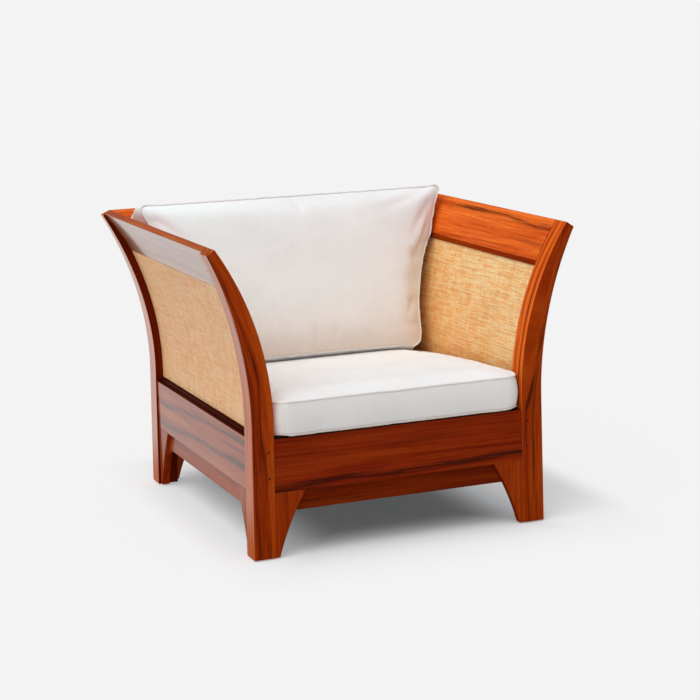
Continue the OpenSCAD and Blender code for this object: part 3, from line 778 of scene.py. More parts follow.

# %% [markdown]
# ## The raffia's colour
# Raffia is a split palm leaf: each strand has its own straw colour, browner dashes along it, knots and
# lint. One noise over the sheet would ignore the strands, so batches and dashes read the strand's own
# mark, and only clouds, nubs and flecks lie across them. The outer sheets are even. The inner sheets
# are livelier, and carry painted light and shade: warmer and deeper low down and at the back, paler at
# the top and front.

# %% The raffia's material
def raffia(name, shades, dash, dash_share, batch_share, nub_scale, nub_share, painted_light_share):
    """Straw in shades. The shares say how strongly dashes, batches, nubs and the painted light and shade
    show.
    """
    material, place = new_material(name)
    strand = stored(material, "strand")
    _, _, mark = split(strand)
    _, y, z = split(place)
    fibres = noise(strand, stretch=(40, 2500, 3))
    batch = (noise(strand, stretch=(9, 0, 11)) - 0.5) * span(mark, 12.0, 18.0, batch_share, 0.45) + 0.5
    nubs, clouds = noise(place, nub_scale, 1.0), noise(place, 30.0, 3.0)
    straw = nubs * nub_share + (batch * (0.84 - nub_share) + clouds * 0.16)
    dashes = span(noise(strand, stretch=(6.5, 0, 37)), 0.50, 0.66)
    dashes = dashes * span(mark, 12.0, 18.0, dash_share, dash_share * 0.3)
    flecks = span(noise(place, 130.0), 0.69, 0.76, 0.0, 0.5)
    # Painted light and shade: warmer and deeper low down and at the back, paler at the top and front.
    painted_light_gradient = blend("MIX", span(z - y * 0.5, 0.30, 0.75), (1.0, 0.86, 0.72, 1), (1.0, 1.06, 1.14, 1))
    body = blend("MIX", dashes, ramp(straw, shades), colour(dash))
    body = blend("MIX", flecks, body, colour("#7a3c18"))
    return principled(material, {
        "Base Color": blend("MULTIPLY", painted_light_share, body, painted_light_gradient),
        "Roughness": span(fibres, 0.3, 0.7, 0.45, 0.62),
        "Specular IOR Level": 0.3,
        "Normal": relief(fibres, 0.3, 0.0003)})


OUTSIDE, INSIDE = 1.0, -1.0
RAFFIA = {
    OUTSIDE: raffia("Woven raffia, outside", {0.42: "#f9a468", 0.49: "#ffca90", 0.56: "#ffdcb0"}, "#d67f46",
                    dash_share=0.42, batch_share=0.55, nub_scale=400.0, nub_share=0.42, painted_light_share=0.0),
    INSIDE: raffia("Woven raffia, inside", {0.42: "#f7a654", 0.49: "#ffcb84", 0.56: "#ffe2a8"}, "#d47a34",
                   dash_share=0.62, batch_share=1.25, nub_scale=230.0, nub_share=0.26, painted_light_share=1.0)}
print([material.name for material in RAFFIA.values()])

# %% [markdown]
# ## How tall a sheet is
# A sheet runs from the apron up to the top rail. The rail's lower edge lies on a line that leans with
# the inner arc, while the sheet bends on the outer one, so its height is where the two meet. It could
# be measured on the CAD piece, but the formula also holds when the chair's sizes change.

# %% The sheets' height
TOP_RAIL = 0.107
RAIL_LEAN = math.asin((HEIGHT - FLARE_START - TOP_RAIL) / INNER_ARC)


def sheet_height(radius):
    """Length of a sheet from the apron up to the top rail."""
    c, s = math.cos(RAIL_LEAN), math.sin(RAIL_LEAN)
    gap = POST_FACE + OUTER_ARC - INNER_ARC
    out = -gap * c + math.sqrt((gap * c) ** 2 - gap ** 2 + radius ** 2)
    return FLARE_START - RAIL_TOP + radius * math.atan2(out * s, gap + out * c)


print("a sheet on the outer arc is", round(sheet_height(OUTER_ARC), 4), "m high")

# %% [markdown]
# ## The six sheets
# Each wall has an outer sheet and an inner one, glued to the two faces of a board. The walls could be
# one weave that is bent round the corners, but the real posts part them, so each sheet is its own run
# of the tree. It names where it starts and ends, which ends meet a flared post, and its radius. It is
# woven on its own axes, then turned onto its wall.

# %% Weave the sheets
POST_SIDE = 0.060
SHEET, BOARD, PANEL_SETBACK = 0.0015, 0.009, 0.02175
OUTWARDS = {"left": Vector((-1, 0, 0)), "right": Vector((1, 0, 0)), "back": Vector((0, 1, 0))}


def woven_sheet(name, wall, depth, facing, seed):
    """Weaves a sheet and places it on its wall. depth is its distance inwards from the outer face."""
    radius = OUTER_ARC + depth
    ends = (-INNER_X, INNER_X, 1.0, 1.0) if wall == "back" else (-DEPTH / 2 + POST_SIDE, INNER_Y, 0.0, 1.0)
    sheet = grow(name, WEAVE, {
        **dict(zip(("Start", "End", "Start flare", "End flare"), ends)), "Height": sheet_height(radius),
        "Radius": radius, "Facing": facing, "Seed": seed, "Material": RAFFIA[facing]})
    along, out, up = points(sheet.data).T
    if wall == "back":
        placed = np.stack([along, INNER_Y + out, up], axis=1)
    else:
        placed = np.stack([OUTWARDS[wall].x * (INNER_X + out), along, up], axis=1)
    sheet.data.vertices.foreach_set("co", placed.ravel())
    sheet.data.update()
    towards = OUTWARDS[wall] * facing
    if sum(face.normal.dot(towards) for face in sheet.data.polygons[:200]) < 0:
        sheet.data.flip_normals()
    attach(sheet, "frame")
    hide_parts(name.replace("_weave", ""))
    print(name, len(sheet.data.polygons), "faces")


OUTER_SEED, INNER_SEED = 3, 13
outer_depth, inner_depth = PANEL_SETBACK + SHEET / 2, PANEL_SETBACK + SHEET + BOARD + SHEET / 2
for number, wall in enumerate(("left", "right", "back")):
    woven_sheet(wall + "_raffia_outer_weave", wall, outer_depth, OUTSIDE, OUTER_SEED + number)
    woven_sheet(wall + "_raffia_inner_weave", wall, inner_depth, INSIDE, INNER_SEED + number)

# %% [markdown]
# ## Linen
# Both cushions are covered in a plain, slightly slubby linen. Threads could be woven like the raffia,
# but they are far finer than a pixel from a few steps away. So two stretched noises stand for warp and
# weft. They read a UV map in metres, so that the threads run straight on each panel and meet at the
# seams. A factor named `turned` is painted light and shade: it darkens the boxing, and on the back
# cushion it paints warm bounce light along the lower edge and a lit patch at the upper left.

# %% The linen's material
def linen_material():
    material, place = new_material("Plain linen")
    cloth = source(material.node_tree, "ShaderNodeUVMap", "UV", uv_map="Cloth")
    warp = noise(cloth, 1.0, 3.0, (900, 14, 1), "2D")
    weft = noise(cloth, 1.0, 3.0, (14, 900, 1), "2D")
    weave, clouds = (warp + weft) * 0.5, noise(place, 9.0, 3.0)
    shade = ramp(weave * 0.7 + clouds * 0.3, {0.36: "#eeefef", 0.5: "#f4f6f7", 0.62: "#f9fbfd"})
    return principled(material, {
        "Base Color": blend("MULTIPLY", 1.0, shade, stored(material, "turned", "Color")),
        "Roughness": span(weave, 0.3, 0.7, 0.8, 0.95),
        "Specular IOR Level": 0.2,
        "Sheen Weight": 0.15,
        "Sheen Roughness": 0.5,
        "Normal": relief(weave, 0.2, 0.0005)})


LINEN = linen_material()
print(LINEN.name, "has", len(LINEN.node_tree.nodes), "nodes")

# %% [markdown]
# ## Lay out a box cushion
# A box cushion is two panels joined by a strip, the boxing, with piping in both seams. It could be
# sculpted, or remeshed and blown up, but then its seams are lost. Here the cover is laid out as quads
# on the surface of a block of cells, so every seam is a known row of points. Each point also has its
# share of the way across, along and up the block, from 0 to 1, which every later step reads.

# %% The block's surface
def block_surface(nx, ny, nz):
    """Lattice points on the surface of a block of cells, and its quads by side."""
    index = {}

    def quad(side, *corners):
        return side, tuple(index.setdefault(corner, len(index)) for corner in corners)

    quads = []
    for i in range(nx):
        for j in range(ny):
            quads.append(quad("bottom", (i, j, 0), (i, j + 1, 0), (i + 1, j + 1, 0), (i + 1, j, 0)))
            quads.append(quad("top", (i, j, nz), (i + 1, j, nz), (i + 1, j + 1, nz), (i, j + 1, nz)))
    for i in range(nx):
        for k in range(nz):
            quads.append(quad("front", (i, 0, k), (i + 1, 0, k), (i + 1, 0, k + 1), (i, 0, k + 1)))
            quads.append(quad("rear", (i + 1, ny, k), (i, ny, k), (i, ny, k + 1), (i + 1, ny, k + 1)))
    for j in range(ny):
        for k in range(nz):
            quads.append(quad("left", (0, j + 1, k), (0, j, k), (0, j, k + 1), (0, j + 1, k + 1)))
            quads.append(quad("right", (nx, j, k), (nx, j + 1, k), (nx, j + 1, k + 1), (nx, j, k + 1)))
    return np.array(list(index)), quads


print("a block of 2 x 2 x 2 cells has", len(block_surface(2, 2, 2)[0]), "surface points")

# %% [markdown]
# ## A cover
# A sewn cover is one thing with several faces: its panels, its seams, and the shape it has before and
# after it is filled. They could be kept as loose lists, but then each step has to carry them all. A
# class keeps them together, so that the threads can follow the flat shape and the cloth the filled one.

# %% The cover
class Cover:
    """A box cushion's cover: its cells, its flat shape and its filled shape."""

    def __init__(self, name, cells, shape):
        self.name, self.cells = name, cells
        self.lattice, self.quads = block_surface(*cells)
        self.share = self.lattice / np.array(cells)
        self.flat = shape(*self.share.T)
        self.filled = self.flat.copy()
        print(name, "has", len(self.quads), "quads")

    def mesh(self, places):
        """The cover as a mesh, with its points at these places."""
        made = bpy.data.meshes.new(self.name)
        made.from_pydata(places.tolist(), [], [quad for _, quad in self.quads])
        made.update()
        return made

    def normals(self, places):
        """The direction out of the cover at each point."""
        mesh = self.mesh(places)
        outwards = np.array([normal.vector for normal in mesh.vertex_normals])
        bpy.data.meshes.remove(mesh)
        return outwards

    def seam(self, top):
        """The points of a seam, in order round the cushion."""
        nx, ny, nz = self.cells
        ring = [(i, 0) for i in range(nx)] + [(nx, j) for j in range(ny)]
        ring += [(i, ny) for i in range(nx, 0, -1)] + [(0, j) for j in range(ny, 0, -1)]
        number = {tuple(point): n for n, point in enumerate(self.lattice)}
        return [number[(i, j, nz if top else 0)] for i, j in ring]


print("a cover can give its", [name for name in vars(Cover) if "__" not in name])

# %% [markdown]
# ## Blow it up
# A real cover is sewn a little too small, and its filling stretches it. Scaling the mesh would swell
# the seams too. A cloth simulation with pressure swells it as cloth does, most in the middle of a
# panel and least at the seams. There is no gravity, because the filling is firm.

# %% Simulate the filling
FILLING_FRAMES = 20
CLOTH = {"quality": 6, "mass": 0.3, "tension_stiffness": 15, "compression_stiffness": 15,
         "shear_stiffness": 8, "bending_stiffness": 0.6, "use_pressure": True}


def swollen(cover, pressure):
    """The cover's points after a cloth simulation with pressure and without gravity."""
    piece = link_object(cover.name + "_filling", cover.mesh(cover.flat))
    modifier = piece.modifiers.new("Filling", "CLOTH")
    for key, value in CLOTH.items():
        setattr(modifier.settings, key, value)
    modifier.settings.uniform_pressure_force = pressure
    modifier.settings.effector_weights.gravity = 0
    modifier.collision_settings.use_collision = False
    modifier.point_cache.frame_start, modifier.point_cache.frame_end = 1, FILLING_FRAMES
    for number in range(1, FILLING_FRAMES + 1):
        bpy.context.scene.frame_set(number)
    places = points(piece.evaluated_get(bpy.context.evaluated_depsgraph_get()).data)
    bpy.context.scene.frame_set(1)
    bpy.data.objects.remove(piece)
    return places


print("a cover is filled in", FILLING_FRAMES, "frames of cloth")

# %% [markdown] ## How far it swells The simulation gives the right form, but how far it swells
# depends on the pressure, and a real filling stops sooner. So each point keeps its direction
# and its move is capped softly.

# %% Fill a cover
def fill(cover, pressure, cap):
    """Blows the cover up. Points move at most about cap."""
    move = swollen(cover, pressure) - cover.flat
    length = np.maximum(np.linalg.norm(move, axis=1, keepdims=True), 1e-9)
    cover.filled = cover.flat + move / length * cap * np.tanh(length / cap)
    print(cover.name, "swells by up to", round(float(length.max()) * 1000, 1), "mm")


print("covers are filled", "by the simulation")

# %% [markdown]
# ## Puckers and creases
# The needle gathers the cloth along a seam into small puckers, and a cushion that has been leaned on
# keeps creases near its corners. The simulation would need far finer quads for them. They are small
# and regular, so they are pressed in by formula: waves that fade away from the seam, and soft valleys
# from one place to another.

# %% Pucker and crease a cover
PUCKER_REACH = 0.03


def press_in(cover, where, depth):
    """Moves the points of some panels inwards."""
    cover.filled = cover.filled - cover.normals(cover.filled) * np.where(where, depth, 0)[:, None]


def pucker(cover, width, tall, depth):
    """Gathers the panels along their seams. Three wave lengths make every pucker a little different."""
    a, b, c = cover.share.T
    beside, above = np.minimum(a, 1 - a) * width, np.minimum(b, 1 - b) * tall
    run = np.where(beside < above, b * tall, a * width)
    wave = np.sin(run / 0.0062 + 2.1 * np.sin(run / 0.023)) * (0.6 + 0.4 * np.sin(run / 0.051 + 1.0))
    fade = np.abs(beside - above) / (np.abs(beside - above) + 0.02)
    gathered = depth * wave * fade * np.exp(-np.minimum(beside, above) / PUCKER_REACH)
    press_in(cover, (c == 0) | (c == 1), -gathered)


def crease(cover, size, start, end, width, depth):
    """Presses a fold into the top panel, from start to end in shares of the panel's size."""
    a, b, c = cover.share.T
    line = (np.array(end) - start) * size
    u, v = (a - start[0]) * size[0], (b - start[1]) * size[1]
    t = np.clip((u * line[0] + v * line[1]) / np.hypot(*line) ** 2, 0, 1)
    away = np.hypot(u - t * line[0], v - t * line[1])
    press_in(cover, c == 1, depth * np.exp(-(away / width) ** 2) * np.sin(math.pi * (0.08 + 0.84 * t)))


print("puckers are a third as deep", round(PUCKER_REACH * 1000 * math.log(3)), "mm from the seam")

# %% [markdown]
# ## Sew the cover up
# The filled points become a mesh with smooth shading. Each panel's threads must stay straight, so the
# UV map comes from the cover's flat shape, in metres, and not from an unwrap of the filled one. Each
# face also gets painted light and shade: the boxing is darker than the panels, and the back cushion's
# panels get painted warm bounce and a painted lit patch.

# %% Finish a cover
def to_world(matrix, places):
    turned = np.array(matrix)
    return places @ turned[:3, :3].T + turned[:3, 3]


def to_local(matrix, places):
    return to_world(matrix.inverted(), places)


UV_AXES = {"top": [0, 1], "bottom": [0, 1], "front": [0, 2], "rear": [0, 2], "left": [1, 2], "right": [1, 2]}


def finished(cover, matrix, body, panel, boxing):
    """The cover as a smooth mesh. panel is a function that gives a place's painted light and shade, boxing
    the boxing's painted shade as a colour.
    """
    piece = link_object(cover.name, cover.mesh(cover.filled))
    flat = to_local(matrix, cover.flat)
    corners = [(side, point) for side, quad in cover.quads for point in quad]
    cloth = np.array([flat[point][UV_AXES[side]] for side, point in corners])
    piece.data.uv_layers.new(name="Cloth").data.foreach_set("uv", cloth.ravel())
    bright = [panel(*cover.share[point]) if side in ("top", "bottom") else boxing for side, point in corners]
    store(piece.data, "turned", [[*shade, 1.0] for shade in bright], "CORNER")
    piece.data.polygons.foreach_set("use_smooth", [True] * len(piece.data.polygons))
    smooth = piece.modifiers.new("Smooth", "SUBSURF")
    smooth.levels = smooth.render_levels = 1
    applied(piece)
    piece.data.materials.append(LINEN)
    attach(piece, body)
    print(piece.name, len(piece.data.polygons), "faces")
    return piece


print("each side's UV map reads these axes:", UV_AXES)

# %% [markdown]
# ## Rounded corners
# A tailor rounds the corners of a panel, because piping can't turn a sharp one. A bevel on the corner
# would need new points, and the seams would lose their rows. So the points that are there move
# inwards near each corner, onto a round one.

# %% Round the corners
def rounded_plan(x, y, half_x, half_y, radius):
    """Rounds the corners of a rectangle of points, out to half_x and half_y."""
    over_x = np.maximum(np.abs(x) - (half_x - radius), 0) / radius
    over_y = np.maximum(np.abs(y) - (half_y - radius), 0) / radius
    new_x = np.abs(x) - over_x * radius + over_x * radius * np.sqrt(1 - over_y ** 2 / 2)
    new_y = np.abs(y) - over_y * radius + over_y * radius * np.sqrt(1 - over_x ** 2 / 2)
    return np.sign(x) * new_x, np.sign(y) * new_y


corner = rounded_plan(np.array([1.0]), np.array([1.0]), 1.0, 1.0, 0.1)
print("a square's corner at 1, 1 rounds to", [round(float(part[0]), 3) for part in corner])

# %% [markdown]
# ## The seat cushion
# It lies on the sloping slats between the posts. Its boxing is lower at the front, where sitters have
# pressed it, and its lower edge curls up off the apron at the front corners. The shape is laid out on
# the cushion's own axes, with the slope in one matrix, because that is easier than sloping each number.

# %% The seat cushion's shape
SEAT_SLOPE = math.radians(4)
SEAT = Matrix.Translation((0, -0.474, 0.316)) @ Matrix.Rotation(-SEAT_SLOPE, 4, "X")
SEAT_HALF_X, SEAT_FRONT, SEAT_BACK = 0.361, -0.050, 0.836
SEAT_CORNER, SIDE_BULGE = 0.048, 0.014
CURL_REACH, CURL, SEAT_BOTTOM = 0.055, 0.024, 0.004


def seat_height(y):
    """Height of the boxing along the depth of the cushion."""
    return np.interp(y, [-0.03, 0.02, 0.2, 0.4, 0.6, 0.84], [0.090, 0.096, 0.100, 0.099, 0.092, 0.088])


def seat_shape(a, b, c):
    """The cover before it is filled."""
    half_y = (SEAT_BACK - SEAT_FRONT) / 2
    x, y = rounded_plan((2 * a - 1) * SEAT_HALF_X, (2 * b - 1) * half_y, SEAT_HALF_X, half_y, SEAT_CORNER)
    bulge = 1 + SIDE_BULGE * 4 * c * (1 - c)
    x, y = x * bulge, y * bulge + (SEAT_FRONT + SEAT_BACK) / 2
    near_side = np.clip((np.abs(x) - SEAT_HALF_X + CURL_REACH) / CURL_REACH, 0, 1)
    near_front = np.clip((SEAT_FRONT + CURL_REACH - y) / CURL_REACH, 0, 1)
    low = SEAT_BOTTOM + CURL * (1 - np.sqrt(1 - np.minimum(near_side * near_front * 1.1, 1) ** 2))
    z = low + c * (seat_height(y) - low)
    return to_world(SEAT, np.stack([x, y, z], axis=1))


seat_cover = Cover("seat_cushion_cover", (70, 86, 10), seat_shape)

# %% [markdown]
# ## Fill the seat cushion
# After filling, the sides are held back where the walls stand and the underside where the slats are.
# A collision in the simulation would do the same, but slower, and it leaves a gap. So the points are
# moved back to the wall, with three millimetres of give in place of a hard stop.

# %% Fill and hold the seat cushion
SEAT_LIMIT, GIVE, SLAT_CLEARANCE = 0.3475, 0.003, 0.001
fill(seat_cover, pressure=4.0, cap=0.016)
pucker(seat_cover, width=0.70, tall=0.85, depth=0.0006)
local = to_local(SEAT, seat_cover.filled)
beyond = np.maximum(np.abs(local[:, 0]) - SEAT_LIMIT, 0)
local[:, 0] -= np.sign(local[:, 0]) * (beyond - GIVE * np.tanh(beyond / GIVE))
local[:, 2] = np.maximum(local[:, 2], SLAT_CLEARANCE)
seat_cover.filled = to_world(SEAT, local)
# Painted shade: the boxing is darker than the top and bottom panels.
seat_piece = finished(seat_cover, SEAT, "seat_cushion", lambda a, b, c: (0.93, 0.93, 0.93),
                      (0.815, 0.775, 0.745))
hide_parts("seat_cushion")

# %% [markdown]
# ## The back cushion
# It stands on the seat cushion and leans on the back wall, and its sides follow the flare of the arms.
# Its top corners are drawn up into small ears by the seams. It is laid out lying on its back, with X
# across, Y up the cushion and Z out of its front, and the matrix stands it up.

# %% The back cushion's shape
LEAN = math.radians(17)
FOOT_Y, FOOT_Z = 0.105, 0.380
up = Vector((0, math.sin(LEAN), math.cos(LEAN)))
forward = Vector((0, -math.cos(LEAN), math.sin(LEAN)))
BACK = Matrix(((1, 0, 0, 0), (0, up.y, forward.y, FOOT_Y), (0, up.z, forward.z, FOOT_Z), (0, 0, 0, 1)))
BACK_THICK, BACK_TALL = 0.150, 0.499
HALF_LOW, HALF_HIGH, FLARED_OVER, SQUEEZE = 0.345, 0.470, 0.455, 0.004
REAR_LIFT, SUNK, SAG = 0.037, 0.004, 0.10
FRONT_CROWN, REAR_CROWN, EAR, TOP_ARCH, TOP_BULGE = 0.034, 0.022, 0.004, 0.008, 0.048


def back_half_width(height):
    """Half the cushion's width at a height, which grows upwards but stays between the arms."""
    grown = HALF_LOW + (HALF_HIGH - HALF_LOW) * np.clip((height - FOOT_Z) / FLARED_OVER, 0, 1.1)
    return np.minimum(grown, INNER_X + flare(np.minimum(height, HEIGHT)) + SQUEEZE)


def back_shape(a, b, c):
    """The cover before it is filled: a across, b up, c from the rear to the front."""
    low = (1 - c) * REAR_LIFT - SUNK - SAG * c * (1 - c)
    crown = np.where(c > 0.5, FRONT_CROWN, REAR_CROWN) * np.clip(16 * a * (1 - a) * b * (1 - b), 0, 1) ** 0.65
    low_across, low_rise = rounded_plan(2 * a - 1, 2 * b - 1, 1.0, 1.0, 0.08)
    top_across, top_rise = rounded_plan(2 * a - 1, 2 * b - 1, 1.0, 1.0, 0.06)
    across, rise = np.where(b < 0.5, low_across, top_across), np.where(b < 0.5, low_rise, top_rise)
    ear = np.clip((np.abs(2 * a - 1) - 0.90) / 0.10, 0, 1) ** 2 * np.clip((b - 0.85) / 0.15, 0, 1) ** 2
    y = low + (rise + 1) / 2 * (BACK_TALL - low) + EAR * ear + TOP_ARCH * np.sin(math.pi * a) * b ** 8
    y = y + TOP_BULGE * c * (1 - c) * b ** 4
    z = (c - 1) * BACK_THICK + (2 * c - 1) * crown
    height = FOOT_Z + y * up.z + z * forward.z
    return to_world(BACK, np.stack([across * back_half_width(height), y, z], axis=1))


back_cover = Cover("back_cushion_cover", (92, 48, 16), back_shape)

# %% [markdown]
# ## Fill the back cushion
# It is filled like the seat cushion, then held back from the two arms and the back wall along their
# whole flare. Its creases run in from the corners, where the ears are drawn up, and across the lower
# edge, where it sags onto the seat.

# %% Fill, hold and crease the back cushion
SIDE_ROOM, REAR_ROOM = 0.007, 0.002
PANEL_SIZE = (0.80, 0.50)
fill(back_cover, pressure=4.0, cap=0.024)
pucker(back_cover, width=0.90, tall=0.50, depth=0.0013)
x, y, z = back_cover.filled.T
leaned = flare(np.minimum(z, HEIGHT))
side_wall = INNER_X + leaned - SIDE_ROOM
rear_wall = np.where(z < HEIGHT, INNER_Y + leaned - REAR_ROOM, np.inf)
back_cover.filled = np.stack([np.clip(x, -side_wall, side_wall), np.minimum(y, rear_wall), z], axis=1)

# Start and end in shares of the panel, width and depth.
CREASES = [((0.985, 0.95), (0.90, 0.70), 0.014, 0.007),
           ((0.975, 0.86), (0.945, 0.50), 0.012, 0.005),
           ((0.95, 0.97), (0.78, 0.84), 0.016, 0.005),
           ((0.02, 0.94), (0.11, 0.70), 0.014, 0.006),
           ((0.985, 0.10), (0.88, 0.17), 0.011, 0.006),
           ((0.97, 0.28), (0.90, 0.20), 0.012, 0.004),
           ((0.55, 0.03), (0.80, 0.07), 0.012, 0.004),
           ((0.02, 0.06), (0.12, 0.20), 0.014, 0.005)]
for fold in CREASES:
    crease(back_cover, PANEL_SIZE, *fold)
print(len(CREASES), "creases")

# %% [markdown]
# ## Painted light on the back cushion
# Warm bounce light from the wood is painted along the lower edge, and a lit patch is painted at the
# upper left. Two gradients over the panel's shares give both.

# %% Finish the back cushion
def painted_back_light(a, b, c):
    """The panel's painted light and shade, as a factor for red, green and blue."""
    # Painted warm bounce light along the lower edge, and a painted lit patch at the upper left.
    brown = float(np.clip(1 - b / 0.42, 0, 1)) ** 1.5
    pale = 0.07 * float(np.clip(1 - 2.2 * a, 0, 1)) * b
    return (0.97 + 0.6 * pale - 0.02 * brown,
            0.96 + 1.6 * pale - 0.16 * brown,
            0.955 + 1.7 * pale - 0.26 * brown)


# The back cushion's boxing gets a slight painted shade.
back_piece = finished(back_cover, BACK, "back_cushion", painted_back_light, (0.97, 0.95, 0.93))
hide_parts("back_cushion")

# %% [markdown]
# ## Piping: the cord
# A cord in a sleeve of linen is sewn into each seam. A bevelled curve could show it, but it would have
# to be drawn again after every change. Geometry Nodes sweep a round section along the seam's own
# points, so the piping follows whatever the filling did to the cover.

# %% The piping's tree
PIPING_RADIUS = 0.0028
PIPING, values = geometry_tree("Piping", {"Seams": "Geometry", "Radius": PIPING_RADIUS, "Step": 0.005,
                                          "Material": "Material"})
path = step("GeometryNodeMeshToCurve", {"Mesh": values["Seams"]})
path = step("GeometryNodeResampleCurve", {"Curve": path, "Length": values["Step"]}, mode="LENGTH")
ring = step("GeometryNodeCurvePrimitiveCircle", {"Resolution": 8, "Radius": values["Radius"]})
end_tree(PIPING, step("GeometryNodeCurveToMesh", {"Curve": path, "Profile Curve": ring}), values["Material"])

# %% [markdown]
# ## Piping: the linen
# The sleeve is cut on the bias, so its threads have no direction along the cord, and the noise reads
# the plain place of each point. The piping low down, chiefly the seat's lower seam by the rail, gets
# painted shade and is darker than the rest.

# %% The piping's material
def piping_material():
    material, place = new_material("Linen piping")
    thread = noise(place, 700.0, 3.0)
    _, _, height = split(place)
    # Painted shade: piping lower than 0.35 m, chiefly the seat's lower seam against the rail, is darker.
    painted_contact_shade = blend("MIX", span(height, 0.35, 0.38), (0.72, 0.66, 0.62, 1), (1, 1, 1, 1))
    return principled(material, {
        "Base Color": blend("MULTIPLY", 1.0, ramp(thread, {0.35: "#e0dcd8", 0.6: "#f0eeec"}), painted_contact_shade),
        "Roughness": span(thread, 0.3, 0.7, 0.8, 0.95),
        "Normal": relief(thread, 0.3, 0.0004)})


BIAS = piping_material()
print(BIAS.name, "has", len(BIAS.node_tree.nodes), "nodes")

# %% [markdown]
# ## Sew the piping in
# Each cover has two seams, one round each panel. Both go into one mesh of points and edges, and the
# tree turns them into two cords that ride on the cushion's body.

# %% Sew it in
def pipe(cover, body):
    """Piping in both seams of a cover."""
    places, edges = [], []
    for top in (True, False):
        ring = cover.seam(top)
        start = len(places)
        places += [cover.filled[n].tolist() for n in ring]
        edges += [(start + n, start + (n + 1) % len(ring)) for n in range(len(ring))]
    mesh = bpy.data.meshes.new(cover.name + "_seams")
    mesh.from_pydata(places, edges, [])
    piping = grow(cover.name.replace("_cover", "_piping"), PIPING,
                  {"Radius": PIPING_RADIUS, "Material": BIAS}, mesh)
    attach(piping, body)
    print(piping.name, len(piping.data.polygons), "faces")


pipe(seat_cover, "seat_cushion")
pipe(back_cover, "back_cushion")

# %% [markdown]
# ## Floor
# A studio floor is a roll of pale paper that runs out of sight. White paper under lamps would burn out
# or turn grey with every change of the light. So a part of its brightness is a glow of its own, which
# no shadow takes away: little right under the chair, a third around it, and nearly all far off, where
# the paper must match the background. The glow is a touch blue near the chair, for cool shadows.

# %% Floor
PAPER = 0.896
GLOW = 0.36
ALBEDO, SPECKLE = 0.574, 0.004
FAR_LIT = 0.1
UNDER_CHAIR = (0.046, 0.058, 0.064, 1)
FLOOR_END = 150.0
signs = ((-1, -1), (1, -1), (1, 1), (-1, 1))
floor_mesh = bpy.data.meshes.new("floor")
floor_mesh.from_pydata([(a * FLOOR_END, b * FLOOR_END, 0) for a, b in signs], [], [(0, 1, 2, 3)])
floor = link_object("floor", floor_mesh)
paper, place = new_material("Floor paper")
x, y, _ = split(place)


def outside(left, right, front, rear, slower=1.0):
    """How far outside a rectangle a point of the floor lies. Ahead of it, slower makes it count less."""
    sideways = calc("MAXIMUM", x - right, left - x)
    return calc("MAXIMUM", sideways, calc("MAXIMUM", y - rear, (front - y) * slower))


far_off = span(outside(left=-0.43, right=0.62, front=-0.68, rear=0.60), 0.0, 0.12)
open_floor = span(outside(left=-0.29, right=0.41, front=-0.54, rear=0.44, slower=0.75), -0.18, 0.08)
lit = [PAPER * GLOW * tone for tone in (0.98, 1.03, 1.06)] + [1]
near_glow = blend("MIX", open_floor, UNDER_CHAIR, lit)
far_glow = [PAPER * (1 - FAR_LIT * (1 - GLOW))] * 3 + [1]
specks = noise(place, 300.0) * SPECKLE + ALBEDO
floor_mesh.materials.append(principled(paper, {
    "Base Color": blend("MIX", far_off * (1 - FAR_LIT), specks, (0, 0, 0, 1)),
    "Roughness": 0.9,
    "Specular IOR Level": 0.0,
    "Emission Color": blend("MIX", far_off, near_glow, far_glow),
    "Emission Strength": 1.0}))
print("the paper glows with", GLOW, "of its brightness near the chair")

# %% [markdown]
# ## Lamps
# A big window to the left and a soft light overhead shape the chair. Area lamps would fade across the
# floor, so two wide, far lamps are used instead. The even sky gives the rest, and together they light
# the paper to exactly its own brightness: what the sky and the glow leave over is shared between them.

# %% Lamps
SKY = np.array([0.330, 0.338, 0.352])
LAMP_SPREAD = math.radians(50)


def soft_lamp(name, elevation, turn, light):
    """A far, wide lamp. turn is measured from the front towards the chair's own right, in degrees."""
    high, around = math.radians(elevation), math.radians(turn)
    towards = Vector((-math.sin(around) * math.cos(high), -math.cos(around) * math.cos(high), math.sin(high)))
    lamp = bpy.data.lights.new(name, "SUN")
    lamp.energy = math.pi * float(light[1]) / math.sin(high)
    lamp.color = light / light[1]
    lamp.angle = LAMP_SPREAD
    piece = link_object(name, lamp)
    piece.rotation_mode = "QUATERNION"
    piece.rotation_quaternion = towards.to_track_quat("Z", "Y")
    print(name, "energy", round(lamp.energy, 3))


lamp_light = PAPER * (1 - GLOW) / (ALBEDO + SPECKLE / 2) - SKY
soft_lamp("Window light", elevation=55, turn=52, light=lamp_light * 0.60)
soft_lamp("Overhead light", elevation=82, turn=90, light=lamp_light * 0.40)

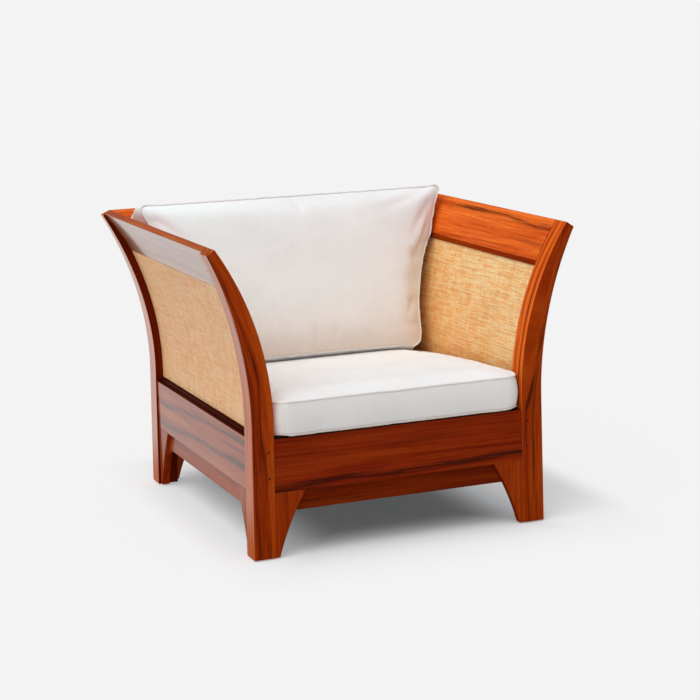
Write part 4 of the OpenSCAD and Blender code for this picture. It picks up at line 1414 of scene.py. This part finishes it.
# %% [markdown]
# ## Sky
# The studio around the chair is even and pale. The camera should see the paper's own brightness, while
# the chair is lit by a dimmer sky, so the world gives each kind of ray its own colour. Reflections
# near the horizon see the pale paper too, which draws the soft edge lights on the lacquer.

# %% Sky
world = bpy.data.worlds.new("Studio")
bpy.context.scene.world = world
world.use_nodes = True
tree = world.node_tree
tree.nodes.clear()
_, _, upward = split(source(tree, "ShaderNodeTexCoord", "Generated"))
ray = {output.name: Flow(output) for output in node(tree, "ShaderNodeLightPath").outputs}
bounced = calc("MAXIMUM", ray["Is Glossy Ray"], ray["Is Transmission Ray"])
mirrored = span(upward, 0.10, 0.25, 1.0, 0.0) * bounced
seen = calc("MAXIMUM", ray["Is Camera Ray"], mirrored)
sky = step("ShaderNodeBackground", {"Color": blend("MIX", seen, [*SKY, 1.0], [PAPER, PAPER, PAPER, 1.0])})
node(tree, "ShaderNodeOutputWorld", {"Surface": sky})
print("sky", SKY.tolist(), "seen as", PAPER)

# %% [markdown]
# ## Camera
# The chair is seen from its front left, from a standing person's height and through a long lens, which
# keeps the walls from spreading apart. A Track To constraint could aim the camera, but three angles
# say it exactly, and the small roll can be written down with them.

# %% Camera
YAW, PITCH, ROLL = math.radians(21.964), math.radians(11.050), math.radians(-1.529)
CAMERA_PLACE = (-1.914, -4.907, 1.454)
ahead = Vector((math.sin(YAW) * math.cos(PITCH), math.cos(YAW) * math.cos(PITCH), -math.sin(PITCH)))
right = Vector((math.cos(YAW), -math.sin(YAW), 0))
above = right.cross(ahead)
tilted_right = math.cos(ROLL) * right + math.sin(ROLL) * above
tilted_above = -math.sin(ROLL) * right + math.cos(ROLL) * above
lens = bpy.data.cameras.new("Camera")
lens.lens = 97.27
lens.sensor_width = 36
camera = link_object("Camera", lens)
turned = Matrix((tilted_right, tilted_above, -ahead)).transposed().to_4x4()
camera.matrix_world = Matrix.Translation(CAMERA_PLACE) @ turned
bpy.context.scene.camera = camera
bpy.context.scene.view_settings.view_transform = "Standard"
print("camera at", CAMERA_PLACE, "looking along", [round(part, 3) for part in ahead])

# %% [markdown]
# ## Size
# A finish keeps the chair's size: only the soft cushions may stand out past the box round the CAD pieces.
